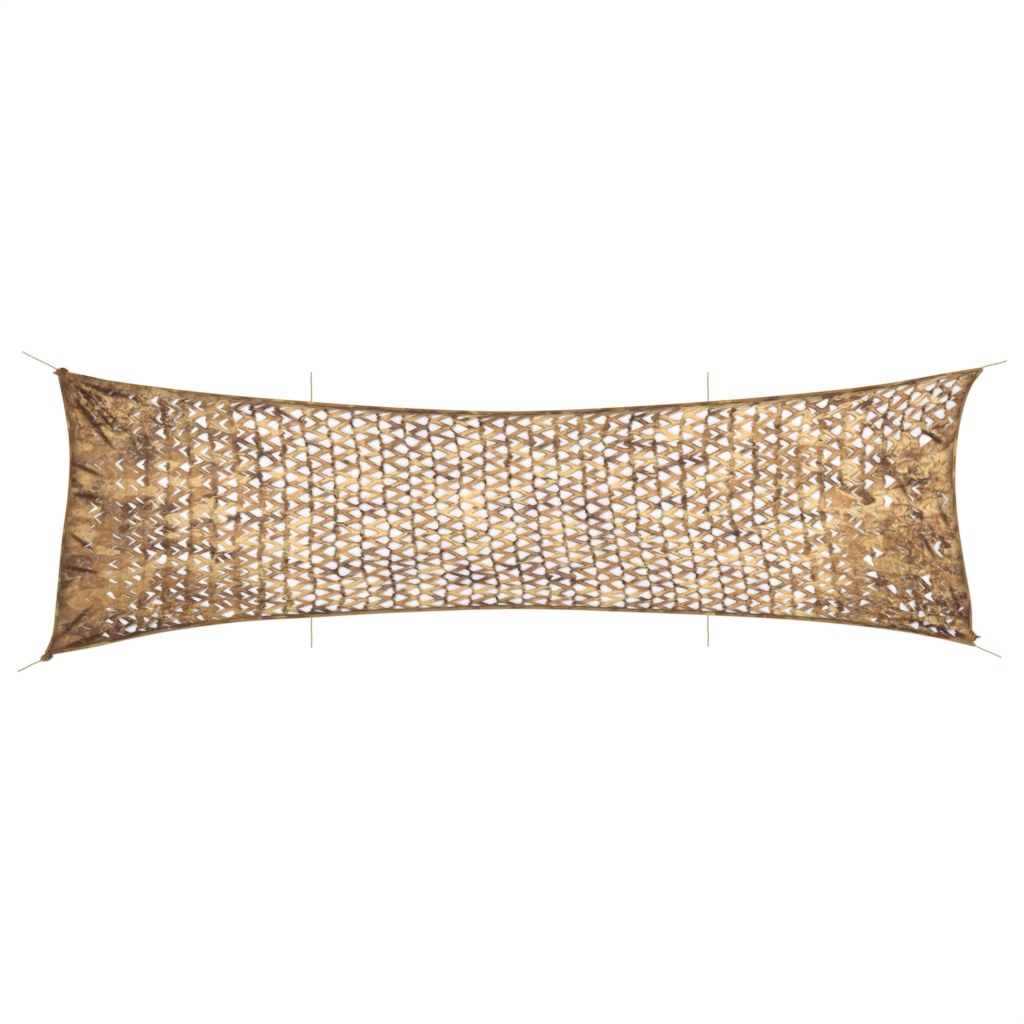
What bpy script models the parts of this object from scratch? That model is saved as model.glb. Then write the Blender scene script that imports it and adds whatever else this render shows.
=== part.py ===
"""Camouflage netting, 1.5 m by 5 m, lying flat and drawn out by its eight ties.

One length of cloth is cut through with rows of V-shaped openings in pairs, back to back along lines of
twisted cloth, the spines. The ties pull the hems outwards, so the openings gape, the net narrows at its
middle and the spines stand up. Metres: +X runs along the net and +Y across it, and it lies on a surface
at z = 0.
"""

import bisect
import math
import random
from collections import namedtuple

import bmesh
import bpy
from mathutils import Matrix, Vector
from mathutils.geometry import delaunay_2d_cdt

# Cloth
CLOTH_THICK = 0.002
HEM_THICK = 0.003
HEM_WIDE = 0.022
GAP = 0.0003                 # between pieces that touch
SHARPEST = 0.45              # cosine of half the turn past which an inset corner is blunted

# The cut: openings stand in columns, and the two of a pair are half a row apart
COLUMNS = 20
ROWS = 9
END_MARGIN = 0.012           # share of the length between a short hem and the first column's cell
SIDE_MARGIN = 0.034          # share of the width between a long hem and the first row's cell
END_CROWDING = 0.07          # columns stand this share closer at the ends, and wider in the middle
LEAN = 0.14                  # how far a mid column's foot stands to the right of its head
UNEVEN = 0.10                # how far an opening's size strays
LEAST_OPEN = 0.50            # an opening that would gape less than this stays shut
SHUT_LONG = 0.72             # length of an opening that hardly gapes, as a share of one that gapes in full
SHUT_TALL = 0.50             # and its height
HEM_CLEARANCE = 0.009        # between an opening and the hem
CROWDING = 0.006             # least distance from a crest or a fold to an opening
LEAF_SHUT = 3.2              # how much further a leaf reaches into an opening that hardly gapes
LEAF_OPEN = 0.5              # and into one that gapes in full
SPINE_HIGH = 0.015           # crest of a gaping column's spine
SPINE_SWAY = 0.045           # sideways swing of a spine, as a share of its cell

Point = namedtuple("Point", "x y")

# Outer line of each hem between the corners, left to right or bottom to top
TOP_HEM = (
    Point(-2.396, 0.772), Point(-2.145, 0.722), Point(-1.647, 0.657), Point(-1.085, 0.608),
    Point(-0.496, 0.570), Point(0.044, 0.557), Point(0.709, 0.586), Point(1.342, 0.632),
    Point(1.828, 0.680), Point(2.087, 0.716), Point(2.314, 0.757), Point(2.547, 0.795),
)
BOTTOM_HEM = (
    Point(-2.491, -0.762), Point(-2.280, -0.724), Point(-1.896, -0.642), Point(-1.469, -0.584),
    Point(-1.085, -0.560), Point(-0.604, -0.533), Point(0.044, -0.514), Point(0.709, -0.533),
    Point(1.342, -0.561), Point(1.714, -0.588), Point(2.087, -0.631), Point(2.331, -0.674),
    Point(2.514, -0.716),
)
LEFT_HEM = (
    Point(-2.530, -0.760), Point(-2.485, -0.654), Point(-2.466, -0.492), Point(-2.431, -0.124),
    Point(-2.406, 0.065), Point(-2.392, 0.249), Point(-2.393, 0.400), Point(-2.406, 0.562),
    Point(-2.436, 0.724),
)
RIGHT_HEM = (
    Point(2.514, -0.716), Point(2.493, -0.684), Point(2.485, -0.503), Point(2.433, -0.184),
    Point(2.408, 0.000), Point(2.397, 0.189), Point(2.406, 0.373), Point(2.431, 0.535),
    Point(2.480, 0.697), Point(2.547, 0.795),
)

LONG_STEPS = 32              # points along a long hem
SHORT_STEPS = 12             # and along a short one

# One opening of the left-hand column, from the line of its spine: shares of a cell along and across the net,
# how high it rises, as a share of the spine's height, and whether it is the leaf's tip
Corner = namedtuple("Corner", "along across rise is_leaf")
OPENING = (
    Corner(-0.57, 0.00, 0.00, False),       # point of the V
    Corner(-0.17, -0.38, 0.10, False),      # lower shoulder
    Corner(-0.055, -0.27, 0.45, False),     # lower foot, at the spine
    Corner(-0.075, 0.02, 0.95, True),       # tip of the leaf that the V leaves
    Corner(-0.055, 0.27, 0.45, False),      # upper foot
    Corner(-0.17, 0.38, 0.10, False),       # upper shoulder
)

# Where the cloth is slack and its openings stay shut
Patch = namedtuple("Patch", "x y half_long half_wide")
SHUT_PATCHES = (
    Patch(-2.44, 0.00, 0.315, 0.78),
    Patch(2.38, -0.02, 0.35, 0.46),
)
PATCH_EDGE = 0.9             # an opening gapes in full at this share of a patch's size outside it
CRUMPLE_HIGH = 0.010         # the right-hand patch is crumpled, and stands up by as much as this

# Single openings in the slack cloth and the corners
Slot = namedtuple("Slot", "x y long wide turn")
SLOTS = (
    Slot(-2.461, -0.721, 0.044, 0.018, 24),
    Slot(2.412, 0.748, 0.050, 0.012, 22),
    Slot(2.314, 0.313, 0.044, 0.060, 0),
    Slot(2.188, 0.268, 0.044, 0.052, 10),
    Slot(-2.296, 0.038, 0.052, 0.050, 0),
    Slot(-2.204, -0.124, 0.074, 0.026, 4),
    Slot(2.378, -0.562, 0.070, 0.034, -12),
    Slot(2.215, -0.535, 0.054, 0.040, 20),
    Slot(2.250, -0.386, 0.058, 0.044, 35),
)
SLOT_SIDES = 6
SLOT_RISE = 0.2              # share of a spine's height

# Folds that stand up from the slack cloth, from one end to the other
Fold = namedtuple("Fold", "start end high wide")
FOLDS = (
    Fold(Point(-2.36, 0.725), Point(-2.13, 0.52), 0.014, 0.026),
    Fold(Point(-2.36, 0.660), Point(-2.17, 0.40), 0.011, 0.026),
    Fold(Point(-2.13, 0.500), Point(-2.09, 0.24), 0.009, 0.028),
    Fold(Point(-2.37, 0.300), Point(-2.20, 0.22), 0.007, 0.030),
    Fold(Point(-2.38, 0.130), Point(-2.19, 0.10), 0.008, 0.026),
    Fold(Point(-2.41, -0.060), Point(-2.25, -0.18), 0.008, 0.028),
    Fold(Point(-2.43, -0.260), Point(-2.22, -0.30), 0.007, 0.026),
    Fold(Point(-2.44, -0.640), Point(-2.28, -0.48), 0.011, 0.026),
    Fold(Point(-2.41, -0.700), Point(-2.19, -0.62), 0.012, 0.026),
    Fold(Point(2.46, -0.640), Point(2.14, -0.55), 0.012, 0.026),
    Fold(Point(2.45, -0.560), Point(2.36, -0.32), 0.010, 0.028),
    Fold(Point(2.31, -0.240), Point(2.20, -0.05), 0.009, 0.030),
    Fold(Point(2.37, -0.060), Point(2.30, 0.13), 0.009, 0.028),
    Fold(Point(2.34, 0.400), Point(2.20, 0.48), 0.010, 0.028),
    Fold(Point(2.16, 0.090), Point(2.08, 0.25), 0.008, 0.028),
)
FOLD_STEP = 0.055            # between points along a fold
FOLD_FOOT = 1.15             # from crest to foot, as a share of a fold's width
FOLD_ENDS = 0.1              # a fold starts and ends this share of a half wave in, so not quite flat
GATHER_HIGH = 0.009          # puckers just inside the long hems
GATHER_AWAY = 0.050          # from the hem's inner edge to a pucker's crest
GATHER_WIDE = 0.030
GATHER_SPACING = 0.31        # from pucker to pucker along the hem
GATHER_SLANT = 3.0           # radians that the row of puckers shifts for each metre across the net
GATHER_REACH = 2.35          # puckers stop this far from the middle of the net

# Tied ends of the hemmed cloth. The seam is the line that each shares with the panel, and the rest of its
# outline follows round to close it.
Knot = namedtuple("Knot", "name seam rest high")
KNOTS = (
    Knot(
        "corner_knot_top_left",
        (Point(-2.436, 0.724), Point(-2.414, 0.750), Point(-2.396, 0.772)),
        (
            Point(-2.409, 0.784), Point(-2.430, 0.792), Point(-2.458, 0.782), Point(-2.466, 0.772),
            Point(-2.482, 0.762), Point(-2.462, 0.754), Point(-2.449, 0.741),
        ),
        0.018,
    ),
    Knot(
        "corner_knot_bottom_left",
        (Point(-2.491, -0.762), Point(-2.510, -0.763), Point(-2.530, -0.760)),
        (
            Point(-2.541, -0.768), Point(-2.547, -0.779), Point(-2.545, -0.793),
            Point(-2.531, -0.795), Point(-2.512, -0.794), Point(-2.496, -0.785),
        ),
        0.020,
    ),
    Knot(
        "corner_knot_bottom_right",
        (
            Point(2.487, -0.631), Point(2.468, -0.640), Point(2.462, -0.664),
            Point(2.476, -0.684), Point(2.493, -0.684),
        ),
        (
            Point(2.507, -0.680), Point(2.513, -0.670), Point(2.537, -0.664),
            Point(2.512, -0.656), Point(2.498, -0.640),
        ),
        0.016,
    ),
)
Ring = namedtuple("Ring", "spread rise")     # shares of a knot's outline and of its height
KNOT_RINGS = (Ring(1.0, 0.0), Ring(0.97, 0.42), Ring(0.80, 0.78), Ring(0.50, 0.98))
PLEAT = 0.13                 # every other point of a knot's upper rings draws in by this share

# Ties: each lies from its hem or knot to its free end
TIE_RADIUS = 0.0025
TIE_STEP = 0.012
Tie = namedtuple("Tie", "name route")
TIES = (
    Tie(
        "tie_top_left",
        (Point(-2.458, 0.782), Point(-2.515, 0.812), Point(-2.590, 0.848), Point(-2.646, 0.878)),
    ),
    Tie(
        "tie_top_left_inner",
        (Point(-1.084, 0.608), Point(-1.083, 0.660), Point(-1.085, 0.720), Point(-1.084, 0.766)),
    ),
    Tie(
        "tie_top_right_inner",
        (Point(1.060, 0.610), Point(1.061, 0.660), Point(1.059, 0.720), Point(1.060, 0.765)),
    ),
    Tie(
        "tie_top_right",
        (Point(2.547, 0.795), Point(2.590, 0.806), Point(2.635, 0.816), Point(2.675, 0.828)),
    ),
    Tie(
        "tie_bottom_left",
        (Point(-2.545, -0.793), Point(-2.585, -0.808), Point(-2.630, -0.832), Point(-2.671, -0.851)),
    ),
    Tie(
        "tie_bottom_left_inner",
        (Point(-1.083, -0.560), Point(-1.084, -0.610), Point(-1.082, -0.670), Point(-1.083, -0.722)),
    ),
    Tie(
        "tie_bottom_right_inner",
        (Point(1.060, -0.548), Point(1.059, -0.600), Point(1.061, -0.660), Point(1.060, -0.715)),
    ),
    Tie(
        "tie_bottom_right",
        (Point(2.514, -0.716), Point(2.560, -0.738), Point(2.605, -0.756), Point(2.645, -0.775)),
    ),
)


def curve_through(knots):
    """A smooth function y(x) through the knots, which rise in x."""
    xs = [k[0] for k in knots]
    ys = [k[1] for k in knots]
    last = len(xs) - 1
    slopes = []
    for i in range(last + 1):
        before, after = max(i - 1, 0), min(i + 1, last)
        slopes.append((ys[after] - ys[before]) / (xs[after] - xs[before]))

    def at(x):
        i = min(max(bisect.bisect_right(xs, x) - 1, 0), last - 1)
        span = xs[i + 1] - xs[i]
        t = (x - xs[i]) / span
        near = (1 + 2 * t) * (1 - t) ** 2 * ys[i] + t * (1 - t) ** 2 * span * slopes[i]
        far = t * t * (3 - 2 * t) * ys[i + 1] + t * t * (t - 1) * span * slopes[i + 1]
        return near + far

    return at


TOP_LINE = curve_through(TOP_HEM)
BOTTOM_LINE = curve_through(BOTTOM_HEM)
LEFT_LINE = curve_through([(p.y, p.x) for p in LEFT_HEM])
RIGHT_LINE = curve_through([(p.y, p.x) for p in RIGHT_HEM])


def net_point(u, v):
    """The place of a point of the cloth: u runs from the left hem to the right, v from bottom to top."""
    spread = u - END_CROWDING * math.sin(2 * math.pi * u) / (2 * math.pi)
    top_x = TOP_HEM[0].x + (TOP_HEM[-1].x - TOP_HEM[0].x) * spread
    bottom_x = BOTTOM_HEM[0].x + (BOTTOM_HEM[-1].x - BOTTOM_HEM[0].x) * spread + LEAN * math.sin(math.pi * u)
    left_y = BOTTOM_HEM[0].y + (LEFT_HEM[-1].y - BOTTOM_HEM[0].y) * v
    right_y = RIGHT_HEM[0].y + (RIGHT_HEM[-1].y - RIGHT_HEM[0].y) * v
    top = Vector((top_x, TOP_LINE(top_x)))
    bottom = Vector((bottom_x, BOTTOM_LINE(bottom_x)))
    left = Vector((LEFT_LINE(left_y), left_y))
    right = Vector((RIGHT_LINE(right_y), right_y))
    corners = (
        Vector((LEFT_LINE(BOTTOM_HEM[0].y), BOTTOM_HEM[0].y)) * (1 - u) * (1 - v)
        + Vector(RIGHT_HEM[0]) * u * (1 - v)
        + Vector((LEFT_LINE(LEFT_HEM[-1].y), LEFT_HEM[-1].y)) * (1 - u) * v
        + Vector(RIGHT_HEM[-1]) * u * v
    )
    return left * (1 - u) + right * u + bottom * (1 - v) + top * v - corners


def lattice_point(column, row):
    """The place of a point given in columns from the left and rows from the bottom."""
    u = END_MARGIN + (1 - 2 * END_MARGIN) * column / COLUMNS
    v = SIDE_MARGIN + (1 - 2 * SIDE_MARGIN) * row / ROWS
    return net_point(u, v)


def panel_outline():
    """The panel's outer line, anticlockwise from the left end of the bottom hem."""
    points = []
    for i in range(LONG_STEPS):
        x = BOTTOM_HEM[0].x + (BOTTOM_HEM[-1].x - BOTTOM_HEM[0].x) * i / LONG_STEPS
        points.append(Vector((x, BOTTOM_LINE(x))))
    right_seam = KNOTS[2].seam
    points += [Vector(RIGHT_HEM[0])] + [Vector(p) for p in reversed(right_seam)]
    for i in range(1, SHORT_STEPS):
        y = right_seam[0].y + (RIGHT_HEM[-1].y - right_seam[0].y) * i / SHORT_STEPS
        points.append(Vector((RIGHT_LINE(y), y)))
    for i in range(LONG_STEPS):
        x = TOP_HEM[-1].x + (TOP_HEM[0].x - TOP_HEM[-1].x) * i / LONG_STEPS
        points.append(Vector((x, TOP_LINE(x))))
    points += [Vector(p) for p in reversed(KNOTS[0].seam)]
    for i in range(1, SHORT_STEPS + 1):
        y = LEFT_HEM[-1].y + (LEFT_HEM[0].y - LEFT_HEM[-1].y) * i / SHORT_STEPS
        points.append(Vector((LEFT_LINE(y), y)))
    points.append(Vector(KNOTS[1].seam[1]))
    return points


def inset(loop, distance):
    """An anticlockwise outline moved inwards."""
    moved = []
    for i, here in enumerate(loop):
        before = (here - loop[i - 1]).normalized()
        after = (loop[(i + 1) % len(loop)] - here).normalized()
        inwards = Vector((-before.y, before.x)) + Vector((-after.y, after.x))
        inwards.normalize()
        lean = max(inwards.dot(Vector((-before.y, before.x))), SHARPEST)
        moved.append(here + inwards * distance / lean)
    return moved


def anticlockwise_order(loop):
    """The indices of an outline's points, in anticlockwise order."""
    area = sum(a.x * b.y - b.x * a.y for a, b in zip(loop, loop[1:] + loop[:1]))
    return range(len(loop)) if area > 0 else range(len(loop) - 1, -1, -1)


def inside(point, loop):
    """Whether a point lies in a closed outline."""
    crossings = 0
    for i, b in enumerate(loop):
        a = loop[i - 1]
        if (a.y > point.y) != (b.y > point.y):
            crossings += point.x < a.x + (b.x - a.x) * (point.y - a.y) / (b.y - a.y)
    return crossings % 2 == 1


def distance_to(point, a, b):
    """The distance from a point to a stretch of line, and how far along the stretch it is, from 0 to 1."""
    along = b - a
    t = min(max((point - a).dot(along) / along.length_squared, 0.0), 1.0)
    return (point - a - along * t).length, t


def clearance(point, loop):
    return min(distance_to(point, loop[i - 1], b)[0] for i, b in enumerate(loop))


def openness(place):
    """How far an opening at this place gapes, from 0 in the slack cloth to 1."""
    least = 1.0
    for patch in SHUT_PATCHES:
        away = math.hypot((place.x - patch.x) / patch.half_long, (place.y - patch.y) / patch.half_wide)
        least = min(least, max((away - 1) / PATCH_EDGE, 0.0))
    return least


def lattice_openings(hem_line):
    """Outlines of the paired openings, each with the rise of its corners."""
    stray = random.Random(5)
    openings = []
    for column in range(COLUMNS):
        for side in (1, -1):
            for row in range(ROWS if side == 1 else ROWS - 1):
                middle = row + 0.5 if side == 1 else row + 1.0
                gape = openness(lattice_point(column + 0.5, middle))
                longer = (SHUT_LONG + (1 - SHUT_LONG) * gape) * (1 + UNEVEN * stray.uniform(-1, 1))
                taller = (SHUT_TALL + (1 - SHUT_TALL) * gape) * (1 + UNEVEN * stray.uniform(-1, 1))
                leaf = 1 + (LEAF_SHUT * (1 - gape) + LEAF_OPEN * gape) * stray.uniform(0.4, 1.6)
                if gape < LEAST_OPEN:
                    continue
                outline = []
                for corner in OPENING:
                    along = corner.along * longer
                    if corner.is_leaf:
                        along = corner.along * leaf
                    sway = SPINE_SWAY * math.cos(2 * math.pi * (middle + corner.across))
                    across = middle + corner.across * taller
                    outline.append(lattice_point(column + 0.5 + side * along + sway * min(gape, 1), across))
                if all(inside(p, hem_line) and clearance(p, hem_line) > HEM_CLEARANCE for p in outline):
                    openings.append((outline, [corner.rise * gape for corner in OPENING]))
    return openings


def slot_openings():
    openings = []
    for slot in SLOTS:
        turn = Matrix.Rotation(math.radians(slot.turn), 2)
        outline = []
        for i in range(SLOT_SIDES):
            angle = 2 * math.pi * i / SLOT_SIDES
            reach = Vector((slot.long / 2 * math.cos(angle), slot.wide / 2 * math.sin(angle)))
            outline.append(Vector((slot.x, slot.y)) + turn @ reach)
        openings.append((outline, [SLOT_RISE] * SLOT_SIDES))
    return openings


def spine_points():
    """Crests of the spines: (place, share of the spine's height)."""
    crests = []
    for column in range(COLUMNS):
        for half_row in range(2 * ROWS + 1):
            row = half_row / 2
            gape = openness(lattice_point(column + 0.5, row))
            if gape < LEAST_OPEN:
                continue
            sway = SPINE_SWAY * math.cos(2 * math.pi * row)
            crests.append((lattice_point(column + 0.5 + sway, row), 0.5 + 0.5 * gape))
    return crests


def crumple_points():
    """Bumps and hollows all over the right-hand slack cloth: (place, rise)."""
    stray = random.Random(8)
    bumps = []
    for column in range(COLUMNS // 2, COLUMNS):
        for row in range(ROWS):
            for half in (0.25, 0.75):
                place = lattice_point(column + half + stray.uniform(-0.15, 0.15), row + half)
                rise = CRUMPLE_HIGH * stray.random()
                if openness(place) < LEAST_OPEN:
                    bumps.append((place, rise))
    return bumps


def fold_points():
    """Crest and feet of each fold, a step apart."""
    points = []
    for fold in FOLDS:
        start, end = Vector(fold.start), Vector(fold.end)
        steps = round((end - start).length / FOLD_STEP)
        across = (end - start).normalized().orthogonal() * fold.wide * FOLD_FOOT
        for i in range(steps + 1):
            crest = start.lerp(end, i / steps)
            points += [crest, crest + across, crest - across]
    return points


def fold_height(place):
    """How far the folds and the puckers along the hems lift the cloth here."""
    height = 0.0
    for fold in FOLDS:
        away, t = distance_to(place, Vector(fold.start), Vector(fold.end))
        across = math.exp(-2 * (away / fold.wide) ** 2)
        along = math.sin(math.pi * (FOLD_ENDS + (1 - 2 * FOLD_ENDS) * t))
        height = max(height, fold.high * across * along)
    if abs(place.x) < GATHER_REACH:
        from_hem = min(TOP_LINE(place.x) - place.y, place.y - BOTTOM_LINE(place.x)) - HEM_WIDE
        across = math.exp(-(((from_hem - GATHER_AWAY) / GATHER_WIDE) ** 2))
        wave = math.sin(2 * math.pi * place.x / GATHER_SPACING + GATHER_SLANT * place.y)
        height = max(height, GATHER_HIGH * across * (0.5 + 0.5 * wave))
    return height


def closed_sheet(mesh_name, faces, points, low, thick):
    """A closed sheet: the faces at the heights in low, the same faces above them by thick, and its edges."""
    bm = bmesh.new()
    under = [bm.verts.new((p.x, p.y, z)) for p, z in zip(points, low)]
    over = [bm.verts.new((p.x, p.y, z + t)) for p, z, t in zip(points, low, thick)]
    sides = {(face[i - 1], face[i]) for face in faces for i in range(len(face))}
    for face in faces:
        bm.faces.new([under[i] for i in reversed(face)])
        bm.faces.new([over[i] for i in face])
    for a, b in sorted(sides):
        if (b, a) not in sides:
            bm.faces.new((under[a], under[b], over[b], over[a]))
    bmesh.ops.recalc_face_normals(bm, faces=bm.faces)
    mesh = bpy.data.meshes.new(mesh_name)
    bm.to_mesh(mesh)
    bm.free()
    return mesh


def build_panel(material):
    outline = panel_outline()
    hem_line = inset(outline, HEM_WIDE)
    openings = lattice_openings(hem_line) + slot_openings()

    places = list(outline) + list(hem_line)
    rises = [0.0] * len(places)
    edges = [(len(outline) + i, len(outline) + (i + 1) % len(hem_line)) for i in range(len(hem_line))]
    loops = [list(range(len(outline)))]
    for corners, lifts in openings:
        loops.append([len(places) + i for i in anticlockwise_order(corners)])
        places += corners
        rises += [SPINE_HIGH * lift for lift in lifts]
    crests = [(place, SPINE_HIGH * share) for place, share in spine_points()]
    for place, rise in crests + crumple_points() + [(place, 0.0) for place in fold_points()]:
        near_hem = not inside(place, hem_line) or clearance(place, hem_line) < HEM_CLEARANCE
        crowded = any(clearance(place, hole) < CROWDING or inside(place, hole) for hole, _ in openings)
        if not near_hem and not crowded:
            places.append(place)
            rises.append(rise)

    found = delaunay_2d_cdt(places, edges, loops, 0, 1e-6)
    flat_points, _, flat_faces, sources, _, face_loops = found
    cloth = [face for face, of in zip(flat_faces, face_loops) if of == [0]]
    low, thick = [], []
    for place, source in zip(flat_points, sources):
        on_hem = bool(source) and source[0] < 2 * len(outline)
        rise = 0.0 if on_hem else max(rises[source[0]] if source else 0.0, fold_height(place))
        low.append(rise)
        thick.append(HEM_THICK if on_hem else CLOTH_THICK)
    used = sorted({i for face in cloth for i in face})
    order = {old: new for new, old in enumerate(used)}
    mesh = closed_sheet(
        "net_panel",
        [[order[i] for i in face] for face in cloth],
        [flat_points[i] for i in used],
        [low[i] for i in used],
        [thick[i] for i in used],
    )
    mesh.materials.append(material)
    add_object("net_panel", mesh)


def build_knot(knot, material):
    """A tied end of cloth: a pleated lump on a flat foot, a hair away from the panel."""
    corners = [Vector(p) for p in (*knot.seam, *knot.rest)]
    outline = inset([corners[i] for i in anticlockwise_order(corners)], GAP)
    centre = sum(outline, Vector((0, 0))) / len(outline)
    bm = bmesh.new()
    rings = []
    for level, (spread, rise) in enumerate(KNOT_RINGS):
        ring = []
        for i, corner in enumerate(outline):
            drawn = spread * (1 - PLEAT * (i % 2)) if level > 1 else spread
            place = centre + (corner - centre) * drawn
            ring.append(bm.verts.new((place.x, place.y, knot.high * rise)))
        rings.append(ring)
    for lower, upper in zip(rings, rings[1:]):
        for i in range(len(outline)):
            j = (i + 1) % len(outline)
            bm.faces.new((lower[i], lower[j], upper[j], upper[i]))
    bm.faces.new(reversed(rings[0]))
    top = bm.verts.new((centre.x, centre.y, knot.high))
    for i in range(len(outline)):
        bm.faces.new((rings[-1][i], rings[-1][(i + 1) % len(outline)], top))
    bmesh.ops.recalc_face_normals(bm, faces=bm.faces)
    mesh = bpy.data.meshes.new(knot.name)
    bm.to_mesh(mesh)
    bm.free()
    mesh.materials.append(material)
    add_object(knot.name, mesh)


def smooth_route(route, step):
    """Points a step apart on a smooth curve through the route's own points."""
    knots = [Vector(p) for p in route]
    ends = [2 * knots[0] - knots[1], *knots, 2 * knots[-1] - knots[-2]]
    fine = []
    for i in range(1, len(ends) - 2):
        a, b, c, d = ends[i - 1 : i + 3]
        parts = max(round((c - b).length / step), 1)
        for k in range(parts):
            t = k / parts
            bend, twist = 2 * a - 5 * b + 4 * c - d, 3 * b - a - 3 * c + d
            fine.append(0.5 * (2 * b + (c - a) * t + bend * t**2 + twist * t**3))
    return fine + [knots[-1]]


def build_tie(tie, material):
    line = smooth_route(tie.route, TIE_STEP)
    line[0] += (line[1] - line[0]).normalized() * 2 * GAP
    data = bpy.data.curves.new(tie.name, "CURVE")
    data.dimensions = "3D"
    data.bevel_depth = TIE_RADIUS
    data.bevel_resolution = 2
    data.use_fill_caps = True
    spline = data.splines.new("POLY")
    spline.points.add(len(line) - 1)
    for point, place in zip(spline.points, line):
        point.co = (place.x, place.y, TIE_RADIUS, 1.0)
    data.materials.append(material)
    add_object(tie.name, data)


def add_object(name, data):
    bpy.context.scene.collection.objects.link(bpy.data.objects.new(name, data))


def make_material(name, colour, roughness):
    material = bpy.data.materials.new(name)
    material.use_nodes = True
    shader = material.node_tree.nodes["Principled BSDF"]
    shader.inputs["Base Color"].default_value = (*colour, 1.0)
    shader.inputs["Roughness"].default_value = roughness
    return material


def main():
    for old in list(bpy.data.objects):
        bpy.data.objects.remove(old)
    cloth = make_material("camouflage_cloth", (0.50, 0.31, 0.14), 0.8)
    bunched = make_material("bunched_cloth", (0.16, 0.10, 0.05), 0.9)
    cord = make_material("beige_cord", (0.42, 0.33, 0.22), 0.7)
    build_panel(cloth)
    for knot in KNOTS:
        build_knot(knot, bunched)
    for tie in TIES:
        build_tie(tie, cord)


main()
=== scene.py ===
"""Camouflage netting of printed desert cloth, laid flat and drawn out by its eight ties: its looks."""

import math

import bmesh
import bpy
import numpy as np
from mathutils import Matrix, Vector
from mathutils.geometry import delaunay_2d_cdt


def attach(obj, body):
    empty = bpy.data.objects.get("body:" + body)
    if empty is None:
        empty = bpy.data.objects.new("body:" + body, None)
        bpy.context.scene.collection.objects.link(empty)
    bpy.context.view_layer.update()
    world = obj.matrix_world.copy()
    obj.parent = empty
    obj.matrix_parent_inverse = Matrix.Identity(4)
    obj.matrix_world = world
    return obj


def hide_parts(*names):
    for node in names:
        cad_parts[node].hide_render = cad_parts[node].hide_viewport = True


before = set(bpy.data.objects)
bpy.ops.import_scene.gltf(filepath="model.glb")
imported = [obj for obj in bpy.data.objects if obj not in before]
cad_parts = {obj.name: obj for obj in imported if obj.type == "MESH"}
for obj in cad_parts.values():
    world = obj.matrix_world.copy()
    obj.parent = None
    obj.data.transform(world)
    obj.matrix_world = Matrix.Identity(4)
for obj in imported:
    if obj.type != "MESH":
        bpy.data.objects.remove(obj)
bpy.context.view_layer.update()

# Sizes, in metres

HEM_WIDE = 0.022
HEM_THICK = 0.003
CORD_DIAMETER = 0.005

# The cut, before the net is drawn out
COLUMNS = 38
ROWS = 16
COLUMN_PITCH = 0.112
ROW_PITCH = 0.0915
V_REACH = 0.066              # from the spine to the point of a V
V_FOOT = 0.0033              # from the spine to its feet
V_HALF = 0.0335              # half its height where it is widest
V_OUTLINE = (                # share of the way from its foot to its point, share of V_HALF
    (0.00, 0.68), (0.06, 0.88), (0.17, 1.00), (0.33, 0.91),
    (0.50, 0.71), (0.67, 0.48), (0.84, 0.24), (1.00, 0.00),
)
V_GAP = 0.0012               # width of the cut at its point
END_MARGIN_FLAT = 0.093      # cloth from the first spine to the short hem
SIDE_MARGIN_FLAT = 0.034     # cloth from the first row to the long hem

# How the cut cloth is laid out between the hems
END_MARGIN = 0.012
SIDE_MARGIN = 0.024
END_CROWDING = (0.12, 0.04)  # how the columns crowd towards the short hems, in a long wave and a shorter one
HEM_CROWDING = (0.15, 0.05)  # how the rows crowd towards the bottom hem, and towards both long hems
RIGHT_CROWDING = 0.20        # how much more they crowd towards both of them near the right hem
RIGHT_FROM, RIGHT_OVER = 0.78, 0.14      # where that starts, and the share of the length over which it grows
LEAN = 0.14                  # how far to the right the spines' lower ends are drawn, at most
LEFT_CORNERS = ((-2.524, -0.768), (-2.458, 0.772))       # where the hems' outer lines would meet
RIGHT_CORNERS = ((2.514, -0.716), (2.547, 0.795))

TOP_HEM = (
    (-2.396, 0.772), (-2.145, 0.722), (-1.647, 0.657), (-1.085, 0.608), (-0.496, 0.570), (0.044, 0.557),
    (0.709, 0.586), (1.342, 0.632), (1.828, 0.680), (2.087, 0.716), (2.314, 0.757), (2.547, 0.795),
)
BOTTOM_HEM = (
    (-2.491, -0.762), (-2.280, -0.724), (-1.896, -0.642), (-1.469, -0.584), (-1.085, -0.560),
    (-0.604, -0.533), (0.044, -0.514), (0.709, -0.533), (1.342, -0.561), (1.714, -0.588),
    (2.087, -0.631), (2.331, -0.674), (2.514, -0.716),
)
LEFT_HEM = (
    (-2.530, -0.760), (-2.485, -0.654), (-2.466, -0.492), (-2.431, -0.124), (-2.406, 0.065), (-2.392, 0.249),
    (-2.395, 0.400), (-2.418, 0.562), (-2.452, 0.724),
)
RIGHT_HEM = (
    (2.514, -0.716), (2.493, -0.684), (2.485, -0.503), (2.433, -0.184), (2.408, 0.000), (2.397, 0.189),
    (2.406, 0.373), (2.431, 0.535), (2.480, 0.697), (2.547, 0.795),
)


# Laying out

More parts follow.
